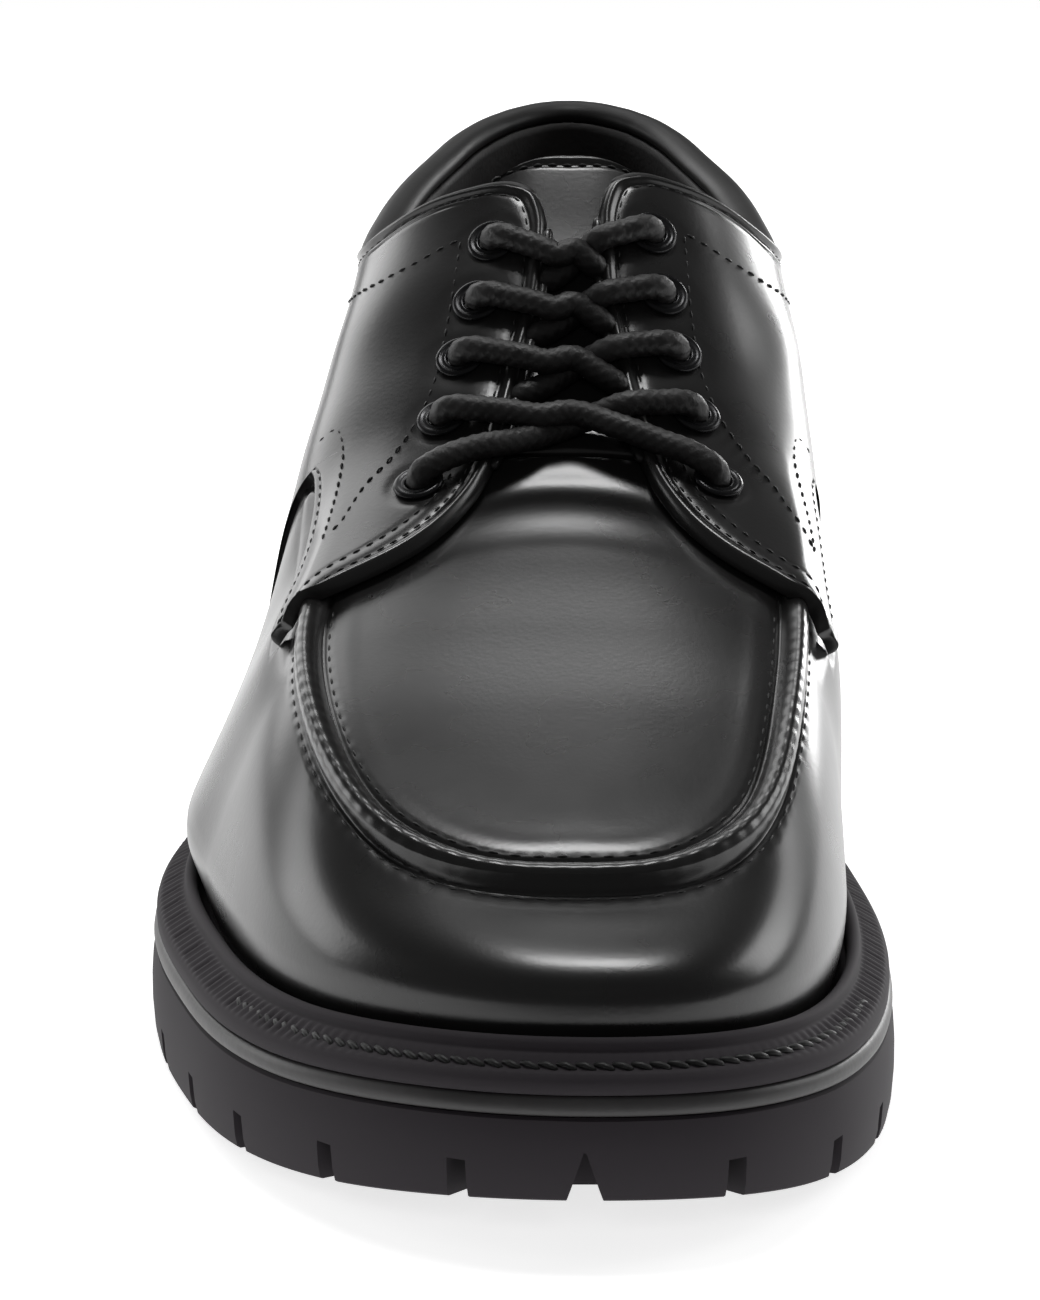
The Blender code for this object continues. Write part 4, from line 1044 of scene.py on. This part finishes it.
def lace_knots(u, t, low_u, side, on_top, over_far):
    """Knots of one strand, from its eyelet over the crest and under the far facing.

    across is the signed distance from the crest in t, positive on the strand's own side, and
    grow is the height over the last. The strand runs straight between its two ends, on the
    last laid flat. over_far is for the bottom crossing, which ends in the far eyelets.
    """
    edge = np.array(FACING_EDGE[::-1])
    rows = []

    def spot(across, at_u, grow):
        """Adds a knot at a place on the last."""
        inner = (across * side) <= 0
        a, tt = on_side(np.array([at_u]), np.array([2 - abs(across)]), inner)
        rows.append(skin(a, tt, np.array([grow]))[0])

    gap = 2 - t
    near_edge = 2 - float(np.interp(u, edge[:, 0], edge[:, 1]))
    far_edge = 2 - float(np.interp(low_u, edge[:, 0], edge[:, 1]))
    end = 2 - EYELETS[-1][1] if over_far else far_edge + 0.07

    def cross(across, grow):
        """Adds a knot on the straight run between the strand's ends."""
        spot(across, u + (low_u - u) * float(np.clip((gap - across) / (gap + end), 0, 1)), grow)

    cross(gap + 0.008, 2.4)
    cross(gap + 0.002, 4.6)
    cross(gap - 0.025, 6.6)
    cross(gap - 0.09, 7.3)
    cross(0.5 * (gap + near_edge), 7.1)
    cross(near_edge, 6.9)
    cross(0.5 * near_edge, 6.7 if on_top else 5.2)
    cross(0.0, 6.5 if on_top else 3.9)
    if over_far:
        cross(-0.3 * end, 6.9 if on_top else 5.4)
        cross(-0.6 * end, 7.1)
        cross(0.09 - end, 7.3)
        cross(0.025 - end, 6.6)
        cross(-end - 0.002, 4.6)
        cross(-end - 0.008, 2.4)
    else:
        cross(-0.5 * far_edge, 5.6 if on_top else 3.8)
        cross(0.01 - far_edge, 4.4 if on_top else 3.7)
        cross(-far_edge - 0.07, 3.0)
    return np.array(rows)


def braid(path, radius, taper):
    """A round braid: two sets of helical strands raised on a tube, as a product of sines."""
    s = arc_length(path)[:, None]
    sides = 28
    turn = (np.arange(sides) * 2 * math.pi / sides)[None, :]
    lay = 2 * np.pi / 5.2
    right = np.sin(6 * turn + 3 * lay * s)
    left = np.sin(6 * turn - 3 * lay * s)
    ripple = 1 + 0.05 * np.maximum(right, left) + 0.02 * right * left
    up = np.tile(np.array([0.0, -0.55, 0.83]), (len(path), 1))
    size = radius * taper
    return roll(path, up, size, size, sides, ripple=ripple)


class DERBY_OT_lace(bpy.types.Operator):
    """Lay the round braided lace through the eyelets in crossings"""
    bl_idname = "derby.lace"
    bl_label = "Lace"

    def execute(self, context):
        radius = context.scene.derby_sizes.lace_width / MM / 2
        for number in range(len(EYELETS) - 1):
            u, t = EYELETS[number]
            last_one = number == len(EYELETS) - 2
            next_u = EYELETS[number + 1][0]
            low_u = next_u if last_one else 0.12 * u + 0.88 * next_u
            strands = []
            for side in (1, -1):
                path = spaced(rounded_path(lace_knots(u, t, low_u, side, side > 0, last_one)), 0.28)
                s = arc_length(path)
                rest = s[-1] - s
                taper = 0.55 + 0.45 * ramp(s, 0.5, 3.0)
                if last_one:
                    taper *= 0.55 + 0.45 * ramp(rest, 0.5, 3.0)
                else:
                    taper *= 0.35 + 0.65 * ramp(rest, 0.0, 4.5)
                strands.append(braid(path, radius, taper))
            points, quads, caps = joined(strands)
            item = put_mesh(f"lace_crossing_{number + 1}", points, quads, finish_named("waxed_lace"), caps)
            dress(item, "lace_cord", f"lace_cross_{number + 1}")
        return {"FINISHED"}


# The sole

def welt_top(y):
    """Height of the welt's outer edge."""
    return table_curve(WELT_Z, y)


def midsole_top(y):
    """Height of the midsole's top."""
    return welt_top(y) - WELT_THICKNESS - LAYER_GAP


def midsole_bottom(y):
    """Height of the midsole's underside."""
    return midsole_top(y) - MIDSOLE_THICKNESS


def outsole_top(y):
    """Height of the outsole's top."""
    return midsole_bottom(y) - LAYER_GAP


def outsole_bottom(y):
    """Height of the outsole's underside, thin over the heel block."""
    thin = outsole_top(y) - HEEL_SEAT_THICKNESS
    return np.where(y > 50, np.minimum(thin, table_curve(GROUND_Z, y)), table_curve(GROUND_Z, y))


class DERBY_OT_welt(bpy.types.Operator):
    """Build the welt with its ribs, bead and rope stitch, and the midsole band under it"""
    bl_idname = "derby.welt"
    bl_label = "Welt and midsole"

    def execute(self, context):
        count = 1500
        a = np.arange(count) / count
        y = loop_values(a)[:, 1]
        top = welt_top(y)
        s = arc_length(sole_edge(a, 0 * a))
        u = np.minimum(a, 1 - a)
        sides = 1 - 0.85 * ramp(u, 0.42, 0.46)
        rib = np.abs(np.sin(np.pi * s / 2.0))
        rib_height = 0.55 * (rib - 0.5) * sides
        groove = 0.55 * (1 - sides)
        inner_edge = table_curve(FEATHER_INSET, y) - 0.6
        slope = WELT_RISE / WELT_LEDGE

        def ledge(out):
            """Height of the sloping ledge at an outset."""
            return top + slope * np.clip(-out, 0, WELT_LEDGE)

        profile = [(0.0, top - WELT_THICKNESS), (0.12, top - WELT_THICKNESS + 0.15), (0.16, top - 1.4),
                   (0.12, top - 0.75), (0.0, top - 0.35), (-0.25, top - 0.08)]
        for out in (-0.5, -0.8, -1.2, -1.6, -2.0, -2.4, -2.8, -3.2, -3.5, -3.8):
            fade = float(np.clip(min(-out - 0.3, 3.9 + out) / 0.6, 0, 1))
            dip = groove * float(np.exp(-((out + 2.1) / 0.9)**2))
            profile.append((out, ledge(out + 0 * y) + rib_height * fade - dip))
        bead_top = top + WELT_RISE + BEAD_HEIGHT
        profile += [(-3.95, top + WELT_RISE), (-4.05, top + WELT_RISE + 0.3), (-4.12, bead_top - 0.55),
                    (-4.35, bead_top - 0.2), (-4.75, bead_top), (-5.2, bead_top), (-5.6, bead_top - 0.2),
                    (-5.85, bead_top - 0.6), (-6.0, bead_top - 1.2), (-6.0, top - LAYER_GAP)]
        profile = [(np.broadcast_to(out, y.shape), z) for out, z in profile]
        profile += [(-inner_edge, top - LAYER_GAP), (-inner_edge, top - WELT_THICKNESS)]
        points = np.stack([np.column_stack([sole_edge(a, out), z]) for out, z in profile], 1)
        columns = len(profile)
        quads = grid_quads(count, columns, 0, True, True)
        item = put_mesh("welt_strip", points.reshape(-1, 3), quads, finish_named("welt_rubber"),
                        smooth_angle=60)
        dress(item, "welt_rubber", "welt")

        front = np.linspace(0.405, 0.595, 700)
        y = loop_values(front)[:, 1]
        out = -2.1 + 0 * y
        line = np.column_stack([sole_edge(front, out), welt_top(y) + slope * 2.1 - 0.15])
        up = np.column_stack([loop_outward(front) * 0.45, 0 * y + 1])
        up /= np.linalg.norm(up, axis=1, keepdims=True)
        points, quads, caps = thread_stitches([(line, up)], 3.3, 2.5, 0.52, 0.45, slant=0.38, arch=0.4)
        rope = put_mesh("welt_rope_stitch", points, quads, finish_named("stitch_thread"), caps)
        dress(rope, "welt_rubber")

        count = 900
        a = np.arange(count) / count
        y = loop_values(a)[:, 1]
        low = midsole_bottom(y)
        high = midsole_top(y)
        profile = [(-9.0, low), (0.2, low), (0.5, low + 0.25), (0.62, low + 0.9), (0.5, high - 0.9),
                   (0.15, high - 0.25), (-0.15, high), (-9.0, high)]
        points = np.stack([np.column_stack([sole_edge(a, out + 0 * y), z]) for out, z in profile], 1)
        quads = grid_quads(count, len(profile), 0, True, True)
        band = put_mesh("midsole_band", points.reshape(-1, 3), quads, finish_named("sole_band"),
                        smooth_angle=50)
        dress(band, "sole_rubber", "midsole")
        return {"FINISHED"}


def slot_places(a_from, a_to):
    """Loop shares of the slots between edge lugs, as the frame spaces them."""
    fine = np.linspace(a_from, a_to, 400)
    along = arc_length(sole_edge(fine, 0 * fine))
    count = int(round(along[-1] / SLOT_PITCH))
    return np.interp((np.arange(count) + 0.5) * along[-1] / count, along, fine)


def sole_slab(name, rows, levels):
    """The outsole as a plate: levels are the outset and the share of the way up its side."""
    u = np.linspace(0, 0.5, rows)
    grids = []
    for outset, share in levels:
        for side in (u, 1 - u):
            plan = sole_edge(side, outset + 0 * u)
            low = outsole_bottom(plan[:, 1])
            grids.append(np.column_stack([plan, low + (outsole_top(plan[:, 1]) - low) * share]))
    points = np.concatenate(grids)
    i = np.arange(rows - 1)
    parts = [np.stack([i, i + 1, rows + i + 1, rows + i], -1)]
    for k in range(len(levels) - 1):
        low = 2 * k * rows
        high = low + 2 * rows
        side = np.stack([low + i, high + i, high + i + 1, low + i + 1], -1)
        parts += [side, side[:, ::-1] + rows]
    roof = 2 * (len(levels) - 1) * rows
    parts.append(np.stack([roof + i, roof + rows + i, roof + rows + i + 1, roof + i + 1], -1))
    item = put_mesh(name, points, np.concatenate(parts), finish_named("sole_rubber"))
    tidy_solid(item)
    return item


def tidy_solid(item):
    """Merge doubles and turn every face outward."""
    built = bmesh.new()
    built.from_mesh(item.data)
    bmesh.ops.remove_doubles(built, verts=built.verts, dist=0.000005)
    bmesh.ops.dissolve_degenerate(built, edges=built.edges, dist=0.000002)
    bmesh.ops.recalc_face_normals(built, faces=built.faces)
    built.to_mesh(item.data)
    built.free()


def slot_cutter(name, edge, out, reach, ground, half_low, half_high, depth=LUG_DEPTH):
    """A prism from 4 mm outside the edge inward, with half widths at the ground and at its roof."""
    side = np.array([-out[1], out[0]])
    low_half = half_low + (half_low - half_high) * 6.0 / depth
    corners = []
    for z, half in ((ground - 6.0, low_half), (ground + depth, half_high)):
        for along, across in ((4.0, -1), (4.0, 1), (-reach, 1), (-reach, -1)):
            plan = edge + out * along + side * across * half
            corners.append((plan[0], plan[1], z))
    quads = [(3, 2, 1, 0), (4, 5, 6, 7), (0, 1, 5, 4), (1, 2, 6, 5), (2, 3, 7, 6), (3, 0, 4, 7)]
    item = put_mesh(name, np.array(corners), quads, finish_named("sole_rubber"))
    tidy_solid(item)
    return item


def cut_away(item, cutters):
    """The item with every cutter taken out of it, as a plain mesh."""
    for cutter in cutters:
        cut = item.modifiers.new("cut", "BOOLEAN")
        cut.solver = "EXACT"
        cut.object = cutter
    evaluated = item.evaluated_get(bpy.context.evaluated_depsgraph_get())
    mesh = bpy.data.meshes.new_from_object(evaluated)
    item.modifiers.clear()
    item.data = mesh
    mesh.shade_smooth()
    mesh.set_sharp_from_angle(angle=math.radians(32))
    for cutter in cutters:
        bpy.data.objects.remove(cutter)
    return item


class DERBY_OT_sole(bpy.types.Operator):
    """Build the lugged outsole, and finish the heel and insole of the frame"""
    bl_idname = "derby.sole"
    bl_label = "Outsole, heel and insole"

    def execute(self, context):
        levels = [(-0.1, 0.0), (0.35, 0.02), (0.75, 0.16), (1.0, 0.4), (1.0, 0.62), (0.8, 0.82),
                  (0.35, 0.97), (-0.2, 1.0)]
        item = sole_slab("outsole_lugged", 330, levels)
        cutters = []
        places = np.concatenate([slot_places(0.245, 0.488), slot_places(0.512, 0.755)])
        for number, a in enumerate(places):
            edge = sole_edge(np.array([a]), np.array([0.0]))[0]
            out = loop_outward(np.array([a]))[0]
            ground = float(outsole_bottom(np.array([edge[1]]))[0])
            cutters.append(slot_cutter(f"slot_{number}", edge, out, SLOT_REACH, ground,
                                       SLOT_WIDTH / 2, SLOT_WIDTH / 2 - 0.15, LUG_DEPTH + EXTRA_SLOT_DEPTH))
        toe = sole_edge(np.array([0.5]), np.array([0.0]))[0] + np.array([-2.0, 0.0])
        cutters.append(slot_cutter("toe_notch", toe, np.array([0.0, -1.0]), SLOT_REACH, 9.3, 2.2, 0.2,
                                   LUG_DEPTH + EXTRA_NOTCH_DEPTH))
        for number, y in enumerate((-118, -96, -74, -52, -30, -8)):
            half = 15.0 if y < -100 else 23.0
            ground = float(outsole_bottom(np.array([float(y)]))[0])
            start = np.array([-7.0 - half, float(y)])
            cutters.append(slot_cutter(f"groove_{number}", start, np.array([-1.0, 0.0]), 2 * half,
                                       ground - 1.5, 2.0, 2.0))
        item = cut_away(item, cutters)
        dress(item, "sole_rubber", "outsole")
        for name, finish in (("heel", "sole_rubber"), ("insole", "insole_sock")):
            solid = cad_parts[name]
            solid.data.materials.clear()
            solid.data.materials.append(finish_named(finish))
        return {"FINISHED"}


# Floor, light and camera

def soft_light(name, place, target, size, power):
    """A rectangular soft light that faces its target."""
    data = bpy.data.lights.new(name, "AREA")
    data.shape = "RECTANGLE"
    data.size = size[0]
    data.size_y = size[1]
    data.energy = power
    lamp = bpy.data.objects.new(name, data)
    lamp.location = place
    lamp.rotation_euler = (Vector(target) - Vector(place)).to_track_quat("-Z", "Y").to_euler()
    bpy.context.scene.collection.objects.link(lamp)
    return lamp


class DERBY_OT_stage(bpy.types.Operator):
    """Set the pale floor, soft studio light and the camera at the photograph's angle"""
    bl_idname = "derby.stage"
    bl_label = "Stage"

    def execute(self, context):
        scene = context.scene
        floor_mesh = bpy.data.meshes.new("floor")
        floor_mesh.from_pydata(FLOOR_CORNERS, [], [(0, 1, 2, 3)])
        floor_finish = new_material("floor_paper", (0.8, 0.8, 0.8), 0.95)
        glow = floor_finish.node_tree.nodes["Principled BSDF"]
        glow.inputs["Emission Color"].default_value = (1, 1, 1, 1)
        glow.inputs["Emission Strength"].default_value = FLOOR_GLOW
        floor_mesh.materials.append(floor_finish)
        floor = bpy.data.objects.new("floor", floor_mesh)
        scene.collection.objects.link(floor)

        world = bpy.data.worlds.new("studio")
        world.use_nodes = True
        tree = world.node_tree
        background = tree.nodes["Background"]
        seen = tree.nodes.new("ShaderNodeLightPath")
        white = tree.nodes.new("ShaderNodeBackground")
        white.inputs["Strength"].default_value = 1.0
        white.inputs["Color"].default_value = (1, 1, 1, 1)
        background.inputs["Color"].default_value = (1, 1, 1, 1)
        background.inputs["Strength"].default_value = ROOM_LIGHT
        blend = tree.nodes.new("ShaderNodeMixShader")
        tree.links.new(seen.outputs["Is Camera Ray"], blend.inputs["Fac"])
        tree.links.new(background.outputs["Background"], blend.inputs[1])
        tree.links.new(white.outputs["Background"], blend.inputs[2])
        tree.links.new(blend.outputs["Shader"], tree.nodes["World Output"].inputs["Surface"])
        scene.world = world

        for name, place, target, size, power in LAMPS:
            lamp = soft_light(name, place, target, size, power)
            lamp.visible_glossy = name != "front_fill"
        scene.view_settings.view_transform = "Standard"

        camera_data = bpy.data.cameras.new("camera")
        camera_data.sensor_fit = "HORIZONTAL"
        camera_data.sensor_width = SENSOR_WIDTH
        camera_data.lens = FOCAL_PIXELS * SENSOR_WIDTH / PICTURE_WIDTH
        camera_data.shift_x = (PICTURE_WIDTH / 2 - LENS_CENTRE[0]) / PICTURE_WIDTH
        camera_data.shift_y = (LENS_CENTRE[1] - PICTURE_HEIGHT / 2) / PICTURE_WIDTH
        camera_data.clip_start = 0.05
        camera_data.clip_end = 30
        camera = bpy.data.objects.new("camera", camera_data)
        camera.location = CAMERA_PLACE
        camera.rotation_euler = (math.radians(90) - CAMERA_TILT, 0, 0)
        scene.collection.objects.link(camera)
        scene.camera = camera
        return {"FINISHED"}


class DerbySizes(bpy.types.PropertyGroup):
    """Sizes of the derby's seams and lace"""
    roll_height: bpy.props.FloatProperty(
        name="Apron roll height", description="Height of the raised apron seam",
        default=0.0021, min=0, unit="LENGTH", precision=5)
    seam_stitch_pitch: bpy.props.FloatProperty(
        name="Apron stitch pitch", description="Distance between the apron's stitches",
        default=0.0032, min=0.001, unit="LENGTH", precision=5)
    quarter_stitch_pitch: bpy.props.FloatProperty(
        name="Quarter stitch pitch", description="Distance between the quarters' stitches",
        default=0.0024, min=0.001, unit="LENGTH", precision=5)
    lace_width: bpy.props.FloatProperty(
        name="Lace width", description="Diameter of the round lace",
        default=0.0038, min=0.001, unit="LENGTH", precision=5)


class DerbyFinish(bpy.types.PropertyGroup):
    """Colours and gloss of the derby's finishes"""
    leather_colour: bpy.props.FloatVectorProperty(
        name="Leather colour", description="Base colour of the polished leather",
        default=(0.0075, 0.0072, 0.0072), size=3, min=0, max=1, subtype="COLOR")
    leather_roughness: bpy.props.FloatProperty(
        name="Leather roughness", description="How matt the leather is",
        default=0.28, min=0, max=1, subtype="FACTOR")
    rubber_colour: bpy.props.FloatVectorProperty(
        name="Rubber colour", description="Base colour of the sole",
        default=(0.052, 0.0495, 0.0505), size=3, min=0, max=1, subtype="COLOR")
    lace_colour: bpy.props.FloatVectorProperty(
        name="Lace colour", description="Base colour of the lace",
        default=(0.008, 0.0075, 0.0075), size=3, min=0, max=1, subtype="COLOR")


class DERBY_PT_panel(bpy.types.Panel):
    """Sizes, finishes and pieces of the derby"""
    bl_label = "Apron toe derby"
    bl_idname = "DERBY_PT_panel"
    bl_space_type = "VIEW_3D"
    bl_region_type = "UI"
    bl_category = "Derby"

    def draw(self, context):
        layout = self.layout
        for group in (context.scene.derby_sizes, context.scene.derby_finish):
            for name in group.__annotations__:
                layout.prop(group, name)
        for operator in OPERATORS:
            layout.operator(operator.bl_idname)


OPERATORS = (DERBY_OT_sole, DERBY_OT_welt, DERBY_OT_vamp, DERBY_OT_quarters, DERBY_OT_collar,
             DERBY_OT_tongue, DERBY_OT_eyelets, DERBY_OT_lace, DERBY_OT_stage)
CLASSES = (DerbySizes, DerbyFinish) + OPERATORS + (DERBY_PT_panel,)


def register():
    """Adds the panel, the operators and the settings."""
    for item in CLASSES:
        bpy.utils.register_class(item)
    bpy.types.Scene.derby_sizes = bpy.props.PointerProperty(type=DerbySizes)
    bpy.types.Scene.derby_finish = bpy.props.PointerProperty(type=DerbyFinish)


def unregister():
    """Takes them away again."""
    del bpy.types.Scene.derby_finish
    del bpy.types.Scene.derby_sizes
    for item in reversed(CLASSES):
        bpy.utils.unregister_class(item)


def main():
    """Builds every piece and the stage."""
    register()
    for operator in OPERATORS:
        group, name = operator.bl_idname.split(".")
        if getattr(getattr(bpy.ops, group), name)() != {"FINISHED"}:
            raise RuntimeError(f"{operator.bl_label} was not finished")


if __name__ == "__main__":
    main()
